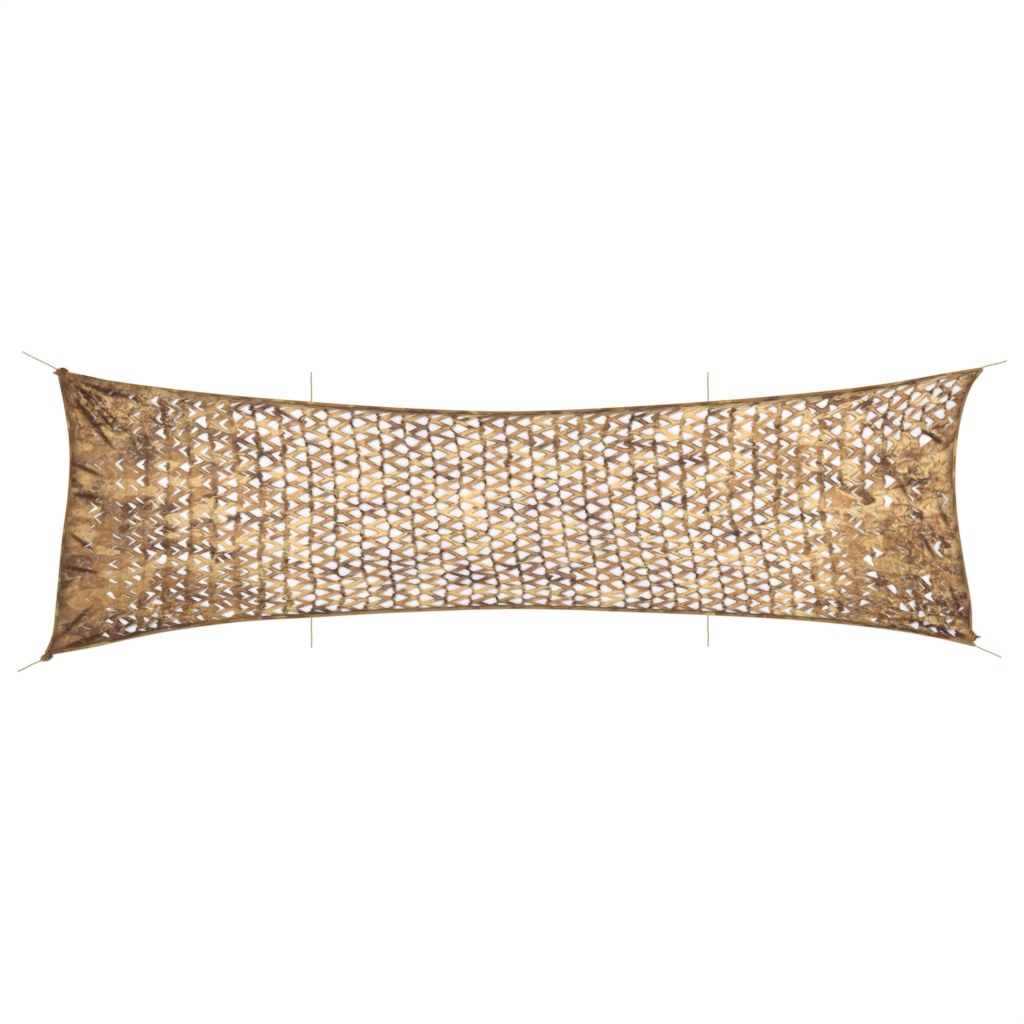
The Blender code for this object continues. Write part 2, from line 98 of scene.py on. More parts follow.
def smooth_line(table, from_x=True):
    """A smooth function through a table's places: y of x, or x of y."""
    xs, ys = np.array(table, dtype=float).T
    if not from_x:
        xs, ys = ys, xs
    before = np.maximum(np.arange(len(xs)) - 1, 0)
    after = np.minimum(np.arange(len(xs)) + 1, len(xs) - 1)
    slopes = (ys[after] - ys[before]) / (xs[after] - xs[before])

    def at(x):
        i = np.clip(np.searchsorted(xs, x, side="right") - 1, 0, len(xs) - 2)
        span = xs[i + 1] - xs[i]
        t = (x - xs[i]) / span
        near = (1 + 2 * t) * (1 - t) ** 2 * ys[i] + t * (1 - t) ** 2 * span * slopes[i]
        far = t * t * (3 - 2 * t) * ys[i + 1] + t * t * (t - 1) * span * slopes[i + 1]
        return near + far

    return at


TOP_LINE = smooth_line(TOP_HEM)
BOTTOM_LINE = smooth_line(BOTTOM_HEM)
LEFT_LINE = smooth_line(LEFT_HEM, from_x=False)
RIGHT_LINE = smooth_line(RIGHT_HEM, from_x=False)


def net_place(u, v):
    """Places (n, 2) on the laid-out net: u from the left hem to the right one, v from the bottom one up."""
    slow, quick = END_CROWDING
    spread = u - slow * np.sin(2 * np.pi * u) / (2 * np.pi) - quick * np.sin(4 * np.pi * u) / (4 * np.pi)
    slow, quick = HEM_CROWDING
    right = np.clip((u - RIGHT_FROM) / RIGHT_OVER, 0, 1)
    quick = quick + RIGHT_CROWDING * right**2 * (3 - 2 * right)
    v = v - slow * np.sin(np.pi * v) / np.pi - quick * np.sin(2 * np.pi * v) / (2 * np.pi)
    (low_left, high_left), (low_right, high_right) = np.array(LEFT_CORNERS), np.array(RIGHT_CORNERS)
    top_x = high_left[0] + (high_right[0] - high_left[0]) * spread
    bottom_x = low_left[0] + (low_right[0] - low_left[0]) * spread + LEAN * np.sin(np.pi * u)
    left_y = low_left[1] + (high_left[1] - low_left[1]) * v
    right_y = low_right[1] + (high_right[1] - low_right[1]) * v
    top = np.stack([top_x, TOP_LINE(top_x)], axis=1)
    bottom = np.stack([bottom_x, BOTTOM_LINE(bottom_x)], axis=1)
    left = np.stack([LEFT_LINE(left_y), left_y], axis=1)
    right = np.stack([RIGHT_LINE(right_y), right_y], axis=1)
    u, v = u[:, None], v[:, None]
    corners = low_left * (1 - u) * (1 - v) + low_right * u * (1 - v)
    corners = corners + high_left * (1 - u) * v + high_right * u * v
    return left * (1 - u) + right * u + bottom * (1 - v) + top * v - corners


def laid_out(cut_x, cut_y):
    """Where points of the flat cut lie once the net is drawn out."""
    column = 0.5 + cut_x / COLUMN_PITCH
    row = cut_y / ROW_PITCH
    u = END_MARGIN + (1 - 2 * END_MARGIN) * column / COLUMNS
    v = SIDE_MARGIN + (1 - 2 * SIDE_MARGIN) * row / ROWS
    return net_place(u, v)


# The flat cut

BAND, RIGHT_LEAF, LEFT_LEAF = 0, 1, 2
CUT_LONG = (COLUMNS - 1) * COLUMN_PITCH      # from the first spine to the last
CUT_HIGH = ROWS * ROW_PITCH
SPINE_STEPS = 10             # points of a row along a spine
CLOTH_STEP = 0.0098          # between points of plain cloth
LEAF_STEP = 0.009            # between points along the middle of a leaf
LEAF_STEPS = 6
BAND_STEPS = 6               # from the point of a V to the next spine
CUT_CLEARANCE = 0.0042       # between a cut and a point of plain cloth
RIM_CLEARANCE = 0.0045       # and between a cell's sides and such a point
SAME_POINT = 1e-7
FINENESS = 20000             # points of neighbouring cells are told apart to a metre over this
CODE_STEP = 1000003          # more than any place's second number


def v_arm(spine, middle, side, half, gap):
    """Points of one arm of a V, from its point to its foot.

    side is 1 for a V that points right, half 1 for its upper arm, and gap what is taken off its point.
    """
    shares, widths = np.array(V_OUTLINE[::-1]).T
    x = V_FOOT + (V_REACH - V_FOOT - gap) * shares
    y = V_HALF * widths - 0.5 * gap * (1 - (2 * shares - 1) ** 2)
    return np.stack([spine + side * x, middle + half * y], axis=1)


def in_leaf(from_spine, away):
    """Whether a place is within a V."""
    x, y = v_arm(0.0, 0.0, 1, 1, 0.0).T
    return from_spine < V_REACH and away < np.interp(from_spine, x[::-1], y[::-1])


def distance_to(line, place):
    """How far a place is from a line of points."""
    start, along = line[:-1], line[1:] - line[:-1]
    t = np.clip(((place - start) * along).sum(1) / (along**2).sum(1), 0, 1)
    return np.sqrt(((place - start - along * t[:, None]) ** 2).sum(1)).min()


class Cell:
    """One row's piece of the cut, from x = left to right, with its cuts as narrow loops."""

    def __init__(self, left, right, leaf_right, leaf_left):
        self.left, self.right = left, right
        self.points, self.kinds, self.cuts = [], [], []
        self.leaves, self.arms = [], []
        self.add_rim(leaf_right)
        if leaf_right:
            self.add_cut(left, 1, 0.0, RIGHT_LEAF, (1,))
            self.add_cut(left, 1, ROW_PITCH, RIGHT_LEAF, (-1,))
        if leaf_left:
            self.add_cut(right, -1, ROW_PITCH / 2, LEFT_LEAF, (1, -1))
        self.fill()

    def add(self, place, kind):
        self.points.append(Vector(place))
        self.kinds.append(kind)
        return len(self.points) - 1

    def add_rim(self, leaf_right):
        """Points along the cell's four sides."""
        if leaf_right:
            xs = [LEAF_STEP * k for k in range(1, LEAF_STEPS + 1)]
            kinds = [RIGHT_LEAF] * LEAF_STEPS + [BAND] * (BAND_STEPS - 1)
            xs += list(np.linspace(V_REACH, self.right, BAND_STEPS + 1)[1:-1])
        else:
            steps = round((self.right - self.left) / CLOTH_STEP)
            xs = list(np.linspace(self.left, self.right, steps + 1)[1:-1])
            kinds = [BAND] * len(xs)
        self.add((self.left, 0.0), BAND)
        for y in (0.0, ROW_PITCH):
            for x, kind in zip(xs, kinds):
                self.add((x, y), kind)
        for k in range(1, SPINE_STEPS):
            self.add((self.left, k * ROW_PITCH / SPINE_STEPS), BAND)
            self.add((self.right, k * ROW_PITCH / SPINE_STEPS), BAND)
        self.add((self.right, 0.0), BAND)
        self.add((self.right, ROW_PITCH), BAND)
        self.add((self.left, ROW_PITCH), BAND)

    def add_arm(self, spine, side, middle, half, kind):
        """One arm of a V's cut: the points of its band's edge and of its leaf's."""
        line = v_arm(spine, middle, side, half, 0.0)
        self.arms.append(line)
        outer = [self.add(place, BAND) for place in line]
        inner = [self.add(place, kind) for place in v_arm(spine, middle, side, half, V_GAP)[:-1]]
        return outer, inner

    def add_cut(self, spine, side, middle, kind, halves):
        """A V's cut as a loop, round one arm or both."""
        outer, inner = self.add_arm(spine, side, middle, halves[0], kind)
        loop = outer + inner[::-1]
        for half in halves[1:]:
            second_outer, second_inner = self.add_arm(spine, side, middle, half, kind)
            self.points[second_outer[0]] = self.points[outer[0]]
            self.points[second_inner[0]] = self.points[inner[0]]
            loop += second_inner[1:] + second_outer[:0:-1]
        self.cuts.append(loop)
        self.leaves.append((spine, side, middle, kind))

    def kind_at(self, x, y):
        for spine, side, middle, kind in self.leaves:
            if in_leaf(side * (x - spine), abs(y - middle)):
                return kind
        return BAND

    def fill(self):
        """Points of plain cloth, in staggered rows clear of the cell's sides and of its cuts."""
        rows = round(ROW_PITCH / (CLOTH_STEP * math.sqrt(3) / 2))
        across = round((self.right - self.left) / CLOTH_STEP)
        for j in range(1, rows):
            y = ROW_PITCH * j / rows
            for i in range(across + 1):
                x = self.left + (self.right - self.left) * (i + 0.5 * (j % 2)) / across
                clear = self.left + RIM_CLEARANCE <= x <= self.right - RIM_CLEARANCE
                if clear and min(distance_to(arm, (x, y)) for arm in self.arms) >= CUT_CLEARANCE:
                    self.add((x, y), self.kind_at(x, y))

    def turn(self, i):
        """Which way a point lies from the cell's middle, were the cell square."""
        across = (self.points[i].x - (self.left + self.right) / 2) / (self.right - self.left)
        return math.atan2((self.points[i].y - ROW_PITCH / 2) / ROW_PITCH, across)

    def anticlockwise(self, loop):
        points = self.points
        sides = zip(loop, loop[1:] + loop[:1])
        area = sum(points[a].x * points[b].y - points[b].x * points[a].y for a, b in sides)
        return loop if area > 0 else loop[::-1]

    def triangulated(self):
        """The cell's points, their kinds and its triangles, with nothing inside the cuts."""
        rim = [
            i for i, p in enumerate(self.points)
            if min(p.x - self.left, self.right - p.x, p.y, ROW_PITCH - p.y) < SAME_POINT
        ]
        loops = [self.anticlockwise(loop) for loop in [sorted(rim, key=self.turn)] + self.cuts]
        places, _, faces, sources, _, loops_of = delaunay_2d_cdt(self.points, [], loops, 0, SAME_POINT)
        triangles = []
        for face, of in zip(faces, loops_of):
            if of == [0]:
                triangles += [(face[0], face[i], face[i + 1]) for i in range(1, len(face) - 1)]
        kinds = [max((self.kinds[s] for s in source), default=BAND) for source in sources]
        return np.array([tuple(place) for place in places]), np.array(kinds), np.array(triangles)


def joined_cells():
    """All cells of the cut, row by row, with the points that neighbours share made one."""
    first = Cell(-END_MARGIN_FLAT, 0.0, False, True).triangulated()
    inner = Cell(0.0, COLUMN_PITCH, True, True).triangulated()
    final = Cell(0.0, END_MARGIN_FLAT, True, False).triangulated()
    columns = [(first, 0.0)] + [(inner, i * COLUMN_PITCH) for i in range(COLUMNS - 1)] + [(final, CUT_LONG)]
    parts = []
    for (points, kinds, triangles), x in columns:
        parts += [(points + (x, row * ROW_PITCH), kinds, triangles) for row in range(ROWS)]
    points = np.concatenate([p for p, _, _ in parts])
    kinds = np.concatenate([k for _, k, _ in parts])
    starts = np.cumsum([0] + [len(p) for p, _, _ in parts])
    triangles = np.concatenate([t + s for (_, _, t), s in zip(parts, starts)])
    keys = np.round(points * FINENESS).astype(np.int64)
    code = keys[:, 0] * CODE_STEP + keys[:, 1]
    _, chosen, back = np.unique(code, return_index=True, return_inverse=True)
    return points[chosen], kinds[chosen], back[triangles]


def flat_cut():
    """The whole cloth as it is cut: points (n, 2), kinds (n,) and triangles (m, 3)."""
    points, kinds, triangles = joined_cells()
    for y, outward in ((0.0, -1), (CUT_HIGH, 1)):
        rim = np.nonzero(np.abs(points[:, 1] - y) < 1e-6)[0]
        rim = rim[np.argsort(points[rim, 0])]
        for _ in range(2):
            moved = points[rim] + (0.0, outward * SIDE_MARGIN_FLAT / 2)
            fresh = np.arange(len(rim)) + len(points)
            points = np.concatenate([points, moved])
            kinds = np.concatenate([kinds, np.full(len(rim), BAND)])
            a, b, c, d = rim[:-1], rim[1:], fresh[1:], fresh[:-1]
            if outward < 0:
                a, b, c, d = b, a, d, c
            triangles = np.concatenate([triangles, np.stack([a, b, c], 1), np.stack([a, c, d], 1)])
            rim = fresh
    return points, kinds, triangles


# The drape

SPINE_SWAY = 0.0075          # the bands pull a spine this far to either side
SPINE_JAG = 0.0066           # and it is jagged by this much
SPINE_REACH = 0.030          # and the cloth about this near to it goes along
NET_HIGH = 0.027             # nothing stands higher
SPINE_HIGH = 0.011
SPINE_FLANK = 0.012          # from a spine's crest down to the cloth beside it
GROUND_LEAST = 0.0015        # the lowest that the cloth's ground stands
GROUND_UNEVEN = 0.0012
CREASE_DEEP = 0.008          # from a crease to the puffs beside it
BAND_LIFT = 0.004            # where the cuts gape, the bands lie on the turned leaves
BAND_ARCH = 0.006            # a band bows up between its edges
BAND_TILT = 0.007            # and one edge stands higher than the other
BAND_LEAST = 0.002           # added to both, so that few bands lie flat
BAND_HALF = 0.18             # half a band's width, as a share of the row pitch
JITTER = 0.0058              # how far the places where bands join stray
CRUMPLED_MORE = 1.5          # and how much more they do in crumpled stretches
DRIFT = 0.008                # how far whole stretches of the net stray
PULL = 0.004                 # and how far shorter ones do
JOINS = (COLUMNS + 3, 2 * ROWS + 4)      # the places where bands join, and some around them
INSIDE_FROM = 0.01           # from the outer rows inwards, over which the net comes into its full relief
SIDE_HELD = 0.02             # this far outside the outer rows the cloth doesn't stray at all,
END_HELD = 0.09              # nor this far outside the outer spines,
HELD_OVER = 0.15             # and from there inwards it strays more and more over this distance
ROOT_AWAY = 0.001            # from a spine to the root of its leaves
OVERLAP = 1.05               # a closed leaf is drawn this much larger than its cut, so that it fills it,
SHUT_LOWER = 0.0012          # and lies this much lower than the cloth around
LEAF_LEAST = 0.0008          # a leaf turned under lies at least this high
UNEVEN_PITCH = 0.05          # how uneven the cut's pitches are, as a share of them
KEEP = 0.45                  # how far a band keeps its first width, as it is bowed
LEAF_KEEP = 0.75             # and a leaf the shorter of its two lengths
STILL_FROM = 0.76            # from here up, the stillness of cloth begins to keep its first lengths,
STILL_OVER = 0.16            # and this much higher it keeps them wholly
ZONE_HIGH = 0.33             # from midway to where a table's outer values hold, as a share of the net's width
GAPE = (                     # x, then how far the cuts gape near the bottom hem, midway and near the top one
    (-2.41, 0.03, 0.00, 0.02), (-2.29, 0.04, 0.00, 0.03), (-2.19, 0.10, 0.04, 0.08),
    (-2.10, 0.29, 0.27, 0.19), (-1.96, 0.38, 0.43, 0.29), (-1.85, 0.44, 0.44, 0.36),
    (-1.63, 0.29, 0.39, 0.45), (-1.33, 0.60, 0.56, 0.64), (-0.88, 0.74, 0.72, 0.88),
    (-0.33, 0.92, 1.05, 0.80), (0.21, 0.70, 1.05, 0.60), (0.75, 0.80, 0.70, 0.64),
    (1.18, 0.82, 0.64, 0.50), (1.50, 0.54, 0.66, 0.52), (1.77, 0.44, 0.42, 0.44),
    (1.93, 0.18, 0.11, 0.62), (2.02, 0.16, 0.02, 0.78), (2.12, 0.18, 0.00, 0.72),
    (2.23, 0.22, 0.00, 0.74), (2.42, 0.18, 0.00, 0.76),
)
LONE_CUTS = (                # x, y and how far they gape, of single cuts pulled open in slack cloth
    (-2.230, 0.715, 0.75), (-2.177, 0.672, 0.85), (-2.090, 0.635, 0.80), (-2.015, 0.630, 0.80),
    (-2.235, 0.490, 0.60), (-2.352, 0.645, 0.55), (-2.296, 0.038, 0.30), (-2.204, 0.149, 0.26),
    (-2.226, -0.035, 0.28), (-2.310, -0.159, 0.24), (-2.430, -0.659, 0.50), (-2.123, -0.562, 0.90),
    (-2.166, -0.611, 0.80), (-2.393, -0.700, 0.50), (-2.260, -0.560, 0.45), (2.314, 0.313, 0.80),
    (2.190, 0.270, 0.80), (2.379, -0.562, 0.65), (2.212, -0.535, 0.70), (2.163, -0.459, 0.80),
    (2.244, -0.384, 0.75), (2.168, -0.600, 0.60), (2.300, -0.620, 0.50),
)
LONE_REACH = 0.024           # a cut whose middle is this near to a place in LONE_CUTS is the one meant
SMOOTH_SPOTS = (             # x, y, half length and half width, of closed spots where the cuts gape around
    (1.78, 0.08, 0.060, 0.09), (-2.02, 0.70, 0.14, 0.05), (-1.66, 0.09, 0.05, 0.08),
    (1.80, 0.62, 0.10, 0.03), (2.44, 0.33, 0.220, 0.20), (2.21, 0.27, 0.160, 0.13),
)
SHADED = (                   # x, y, half length, half width and how dark the painted shade is, of slack stretches
    (-2.50, 0.00, 0.75, 1.20, 0.62), (-2.42, 0.60, 0.32, 0.45, 0.85), (-1.85, 0.56, 0.45, 0.35, 0.50),
    (-2.05, -0.58, 0.85, 0.38, 0.88), (-0.30, -0.50, 1.60, 0.32, 0.36), (-0.30, 0.50, 1.20, 0.30, 0.24),
    (2.10, -0.46, 0.36, 0.40, 0.74), (2.30, 0.10, 0.35, 0.60, 0.24),
)
CRUMPLED = (                 # x, y, half length, half width and how badly, of crumpled stretches
    (-2.16, 0.58, 0.34, 0.24, 1.0), (-1.93, -0.56, 0.36, 0.13, 0.8), (-2.32, -0.10, 0.16, 0.62, 0.3),
    (2.24, -0.02, 0.32, 0.56, 0.9), (2.20, -0.56, 0.36, 0.20, 1.0), (0.55, -0.12, 0.30, 0.24, 0.3),
    (2.36, 0.48, 0.20, 0.24, 0.7),
)
FOLDS = (                    # from, to, height and width of its longer folds
    ((-2.36, 0.725), (-2.13, 0.52), 0.015, 0.028), ((-2.36, 0.660), (-2.15, 0.38), 0.014, 0.026),
    ((-2.40, 0.745), (-2.02, 0.64), 0.012, 0.024), ((-2.33, 0.690), (-2.11, 0.44), 0.014, 0.018),
    ((-2.13, 0.500), (-2.09, 0.24), 0.009, 0.028), ((-2.37, 0.300), (-2.20, 0.22), 0.007, 0.030),
    ((-2.38, 0.130), (-2.19, 0.10), 0.008, 0.026), ((-2.41, -0.060), (-2.25, -0.18), 0.008, 0.028),
    ((-2.43, -0.260), (-2.22, -0.30), 0.007, 0.026), ((-2.44, -0.640), (-2.28, -0.48), 0.011, 0.026),
    ((-2.41, -0.700), (-2.19, -0.62), 0.012, 0.026), ((2.46, -0.640), (2.14, -0.55), 0.012, 0.026),
    ((2.45, -0.560), (2.36, -0.32), 0.010, 0.028), ((2.31, -0.240), (2.20, -0.05), 0.009, 0.030),
    ((2.37, -0.060), (2.30, 0.13), 0.009, 0.028), ((2.34, 0.400), (2.20, 0.48), 0.010, 0.028),
    ((2.16, 0.090), (2.08, 0.25), 0.008, 0.028),
)
TURNED_UNDER = 0.55          # leaves whose cuts gape more than this are turned under
TURN_SHARE = 0.14            # of a leaf's length goes into the turn
TEETH = 0.0085               # and how far out along the leaf the turn is, at most
STRIP_PARTS = 16             # steps in which a leaf's bending is summed up
PATCHY_FROM = 1.90           # from here to the right hem, slack cuts either gape well or stay shut,
PATCHY_UNDER = 0.45          # where they gape less than this
SPINE_SHADOW_HALF = 0.0042           # half width of a spine's painted shadow line
BLOT_HALF = 0.0118           # and of its painted shadow blots
CREASE_HALF = 0.18           # half width of a crease's painted shadow line, in the field of creases
CREASE_SHADE = 0.9
FLANK_WAY = (0.002, 0.013)   # from a place on a fold's flank in painted shade towards its crest
FLANK_DROP = 0.0028          # and how much lower it is than that where it is darkest
FLANK_SHADE = 0.92
BESIDE_END = 0.050           # how far the short hems' shade reaches inwards
BESIDE_SIDE = 0.056          # and the long ones'
HELD_EDGE = 0.004            # tells the points at the cloth's rim, which the hem holds, from the next ones
EASING = 0.8                 # how far the cloth gives way to its edges in a round
CARRIED_ON = 0.85            # of a round's motion goes on into the next
PUSH = 0.35                  # how much less an edge pushes than it pulls
SMOOTHING = 0.25             # how far a point goes along with its neighbours in a round
ROUNDS = 240


def by_zone(table, places, v):
    """A table's values, read smoothly at these places. v goes from 0 at the bottom hem to 1 at the top."""
    xs, low, middle, high = np.array(table).T
    low, middle, high = (np.interp(places[:, 0], xs, row) for row in (low, middle, high))
    down, up = np.clip((0.5 - v) / ZONE_HIGH, 0, 1), np.clip((v - 0.5) / ZONE_HIGH, 0, 1)
    return middle + (low - middle) * down**2 * (3 - 2 * down) + (high - middle) * up**2 * (3 - 2 * up)


def from_middle(places, x, y, half_long, half_wide):
    """How far places are from the middle of a stretch, where 1 is its rim."""
    return np.hypot((places[:, 0] - x) / half_long, (places[:, 1] - y) / half_wide)


def openness(places, v):
    """How far the cuts gape at these places, from 0 in slack cloth to 1."""
    gape = by_zone(GAPE, places, v)
    for spot in SMOOTH_SPOTS:
        gape = gape * np.clip((from_middle(places, *spot) - 0.8) / 0.4, 0, 1)
    return gape


def within(stretches, places):
    """How much of what a table's stretches give reaches these places, from 0 to 1."""
    most = np.zeros(len(places))
    for *stretch, how_much in stretches:
        most = np.maximum(most, how_much * np.clip(1.4 - from_middle(places, *stretch), 0, 1))
    return most


def fold_height(places):
    """How high the longer folds lift these places."""
    high = np.zeros(len(places))
    for start, end, rise, wide in FOLDS:
        start, along = np.array(start), np.array(end) - np.array(start)
        t = np.clip((places - start) @ along / (along @ along), 0, 1)
        away = np.linalg.norm(places - start - t[:, None] * along, axis=1)
        high = np.maximum(high, rise * np.exp(-2 * (away / wide) ** 2) * np.sin(np.pi * (0.1 + 0.8 * t)))
    return high


def wander(x, y, seed, count=9, longest=9.0, shortest=2.5):
    """A smooth random field over the net, about -1 to 1: waves of random ways and lengths, in pitches."""
    draw = np.random.default_rng(seed)
    field = np.zeros(len(x))
    for _ in range(count):
        long = shortest * (longest / shortest) ** draw.random()
        turn = draw.uniform(0, 2 * np.pi)
        ride = 2 * np.pi * (np.cos(turn) * x / COLUMN_PITCH + np.sin(turn) * y / ROW_PITCH) / long
        field += np.sin(ride + draw.uniform(0, 2 * np.pi))
    return field / math.sqrt(count)


def wrinkles(places):
    """A field whose zeros are creases: they fan out from the corners, and run every way midway up the net."""
    fanned = np.zeros(len(places))
    for seed, corner in enumerate(LEFT_CORNERS + RIGHT_CORNERS, 71):
        away = places - corner
        far, turn = np.hypot(*away.T), np.arctan2(away[:, 1], away[:, 0])
        fan = wander(far * 0.45, turn * 0.50, seed, 14, 1.6, 0.40)
        near = (np.sign(places[:, 0]) == np.sign(corner[0])) & (np.sign(places[:, 1]) == np.sign(corner[1]))
        fanned = np.where(near, fan, fanned)
    every_way = wander(places[:, 0], places[:, 1], 22, 14, 1.6, 0.40)
    share = np.clip(np.abs(places[:, 1]) / 0.3, 0, 1)
    return fanned * share + every_way * (1 - share)


def by_join(values, x, y):
    """Values given for each place where bands join, read smoothly between them."""
    across = np.clip(x / COLUMN_PITCH + 1, 0, values.shape[0] - 1.001)
    up = np.clip(2 * y / ROW_PITCH + 1, 0, values.shape[1] - 1.001)
    i, j = across.astype(int), up.astype(int)
    s, t = across - i, up - j
    s, t = s * s * (3 - 2 * s), t * t * (3 - 2 * t)
    low = values[i, j] * (1 - s) + values[i + 1, j] * s
    high = values[i, j + 1] * (1 - s) + values[i + 1, j + 1] * s
    return low * (1 - t) + high * t


def strip_along(share, angle_at):
    """How far along and up a leaf's strip has come at a share of its length, by its angle all the way."""
    step = share / STRIP_PARTS
    out, up = np.zeros(len(share)), np.zeros(len(share))
    for k in range(STRIP_PARTS):
        angle = angle_at((k + 0.5) * step)
        out += np.cos(angle) * step
        up += np.sin(angle) * step
    return out, up


def half_leaves(kinds, y):
    """Which points are on the half leaves along the long hems."""
    return (kinds == RIGHT_LEAF) & ((y < V_HALF) | (y > CUT_HIGH - V_HALF))


class Drape:
    """The cut cloth drawn out: where its points lie, how high they stand, and how the cloth looks there."""

    def __init__(self, points, kinds):
        self.x, self.y = points.T
        self.kinds = kinds
        self.read_cut()
        self.draw_lots()
        self.lay_bands()
        self.raise_bands()
        self.open_leaves()
        self.lay_leaves()
        self.roll_half_leaves()
        self.slack = 1 - openness(self.places, np.clip(self.y / CUT_HIGH, 0, 1))

    def read_cut(self):
        """Which spine and which row each point belongs to, and how far the cuts gape there."""
        x, y, kinds = self.x, self.y, self.kinds
        self.halved = half_leaves(kinds, y)
        self.leafy = (kinds != BAND) & ~self.halved
        column = np.round(x / COLUMN_PITCH)
        column = np.where(kinds == LEFT_LEAF, np.ceil(x / COLUMN_PITCH - 1e-6), column)
        column = np.where(kinds == RIGHT_LEAF, np.floor(x / COLUMN_PITCH + 1e-6), column)
        row = np.where(kinds == LEFT_LEAF, np.floor(y / ROW_PITCH) + 0.5, np.round(y / ROW_PITCH))
        self.column = column
        self.spine, self.middle = column * COLUMN_PITCH, row * ROW_PITCH
        self.from_spine, self.away = x - self.spine, y - self.middle
        self.side = np.sign(self.from_spine)
        self.inside = np.clip(np.minimum(y, CUT_HIGH - y) / INSIDE_FROM, 0, 1)
        seat_y = np.where(self.leafy, self.middle, y)
        self.seats = laid_out(self.spine + self.side * self.leafy * V_REACH / 2, seat_y)
        self.gape = openness(self.seats, np.clip(seat_y / CUT_HIGH, 0, 1))

    def draw_lots(self):
        """How each join of the bands and each leaf differs from the next."""
        draw = np.random.default_rng(11)
        self.jitter_x, self.jitter_y, self.arch, self.tilt = (draw.uniform(-1, 1, JOINS) for _ in range(4))
        column = np.clip(self.column.astype(int) + 1, 0, JOINS[0] - 1)
        leaf = np.clip(np.round(2 * self.middle / ROW_PITCH).astype(int) + 1, 0, JOINS[1] - 1)
        lots = (draw.random(JOINS)[column, leaf] for _ in range(5))
        self.mood, self.lean, self.fold, self.back, self.tip_up = lots

    def lay_bands(self):
        """Bands and spines where the hems draw them, swaying, jagged and a little astray."""
        x, y, gape = self.x, self.y, self.gape
        root = np.where(self.leafy, self.spine + self.side * ROOT_AWAY, x)
        places = laid_out(root, y)
        self.crumpled = within(CRUMPLED, places)
        stray = np.stack([by_join(self.jitter_x, root, y), by_join(self.jitter_y, root, y)], axis=1) * JITTER
        stray *= (1 + CRUMPLED_MORE * self.crumpled)[:, None]
        drift = np.stack([wander(root, y, 41), wander(root, y, 42)], axis=1) * DRIFT
        pulled = np.stack([wander(root, y, seed, 9, 3.2, 1.2) for seed in (43, 44)], axis=1)
        drift += pulled * (PULL + PULL * self.crumpled)[:, None]
        edge = np.clip(np.minimum(y + SIDE_HELD, CUT_HIGH + SIDE_HELD - y) / HELD_OVER, 0, 1)
        ends = np.clip(np.minimum(x + END_HELD, CUT_LONG + END_HELD - x) / HELD_OVER, 0, 1)
        places = places + (stray * self.inside[:, None] + drift) * (edge * ends)[:, None]
        near = np.exp(-((root - self.spine) / SPINE_REACH) ** 2)
        sway = SPINE_SWAY * gape * np.cos(2 * np.pi * y / ROW_PITCH)
        jag = SPINE_JAG * np.clip(2 * gape, 0, 1) * wander(root * 0.3, y, 61, 14, 0.44, 0.20)
        places[:, 0] += (jag - sway) * near * self.inside
        self.root, self.places = root, places

    def raise_bands(self):
        """How high the ground, the bands and the spines stand."""
        x, y, gape = self.x, self.y, self.gape
        local = np.mod(x, COLUMN_PITCH) / COLUMN_PITCH
        row = np.mod(y, ROW_PITCH) / ROW_PITCH
        upper = row - (0.5 + 0.5 * local)
        lower = row - (0.5 - 0.5 * local)
        across = np.where(np.abs(upper) < np.abs(lower), upper, lower) / BAND_HALF
        arch = BAND_ARCH * (1 + 0.5 * by_join(self.arch, x, y)) * np.clip(1 - across**2, 0, 1)
        tilt = BAND_TILT * by_join(self.tilt, x, y) * np.clip(across, -1.2, 1.2)
        bowed = np.clip(arch + tilt + BAND_LEAST, 0, None) * np.sin(np.pi * local) * (0.2 + 0.8 * gape)
        beaded = 0.85 + 0.15 * np.cos(4 * np.pi * y / ROW_PITCH)
        ridge = SPINE_HIGH * np.exp(-(self.from_spine / SPINE_FLANK) ** 2) * beaded
        self.creased = wrinkles(self.places)
        self.ground = GROUND_LEAST + GROUND_UNEVEN * (1 + wander(x, y, 21, 9, 1.5, 0.4))
        self.ground += fold_height(self.places)
        self.ground += self.crumpled * CREASE_DEEP * np.abs(self.creased)
        self.lift = BAND_LIFT * np.clip(gape * 1.5, 0, 1) * self.inside
        self.standing = 0.05 + 0.95 * gape
        self.height = (bowed + ridge * self.standing) * self.inside + self.lift + self.ground

    def open_leaves(self):
        """How far each leaf is out of its cut, and which leaves are turned under."""
        gape, mood, seats = self.gape, self.mood, self.seats
        one_sided = (self.kinds == RIGHT_LEAF) * (1 - gape) * np.where(self.places[:, 0] < 0, 0.34, 0.16)
        state = gape - one_sided + (mood - 0.5) * (0.62 - 0.24 * gape) * np.clip(5 * gape - 0.3, 0, 1)
        patchy = (gape < PATCHY_UNDER) & (seats[:, 0] > PATCHY_FROM)
        opened = 0.26 + 0.40 * self.back + 0.2 * gape
        state = np.where(patchy, np.where(mood < gape / PATCHY_UNDER - 0.04, opened, 0.0), state)
        for x_lone, y_lone, how_far in LONE_CUTS:
            meant = np.hypot(seats[:, 0] - x_lone, seats[:, 1] - y_lone) < LONE_REACH
            state = np.where(meant, how_far, state)
        self.state = np.clip(state, 0, 1.05)
        self.turned = self.state > TURNED_UNDER

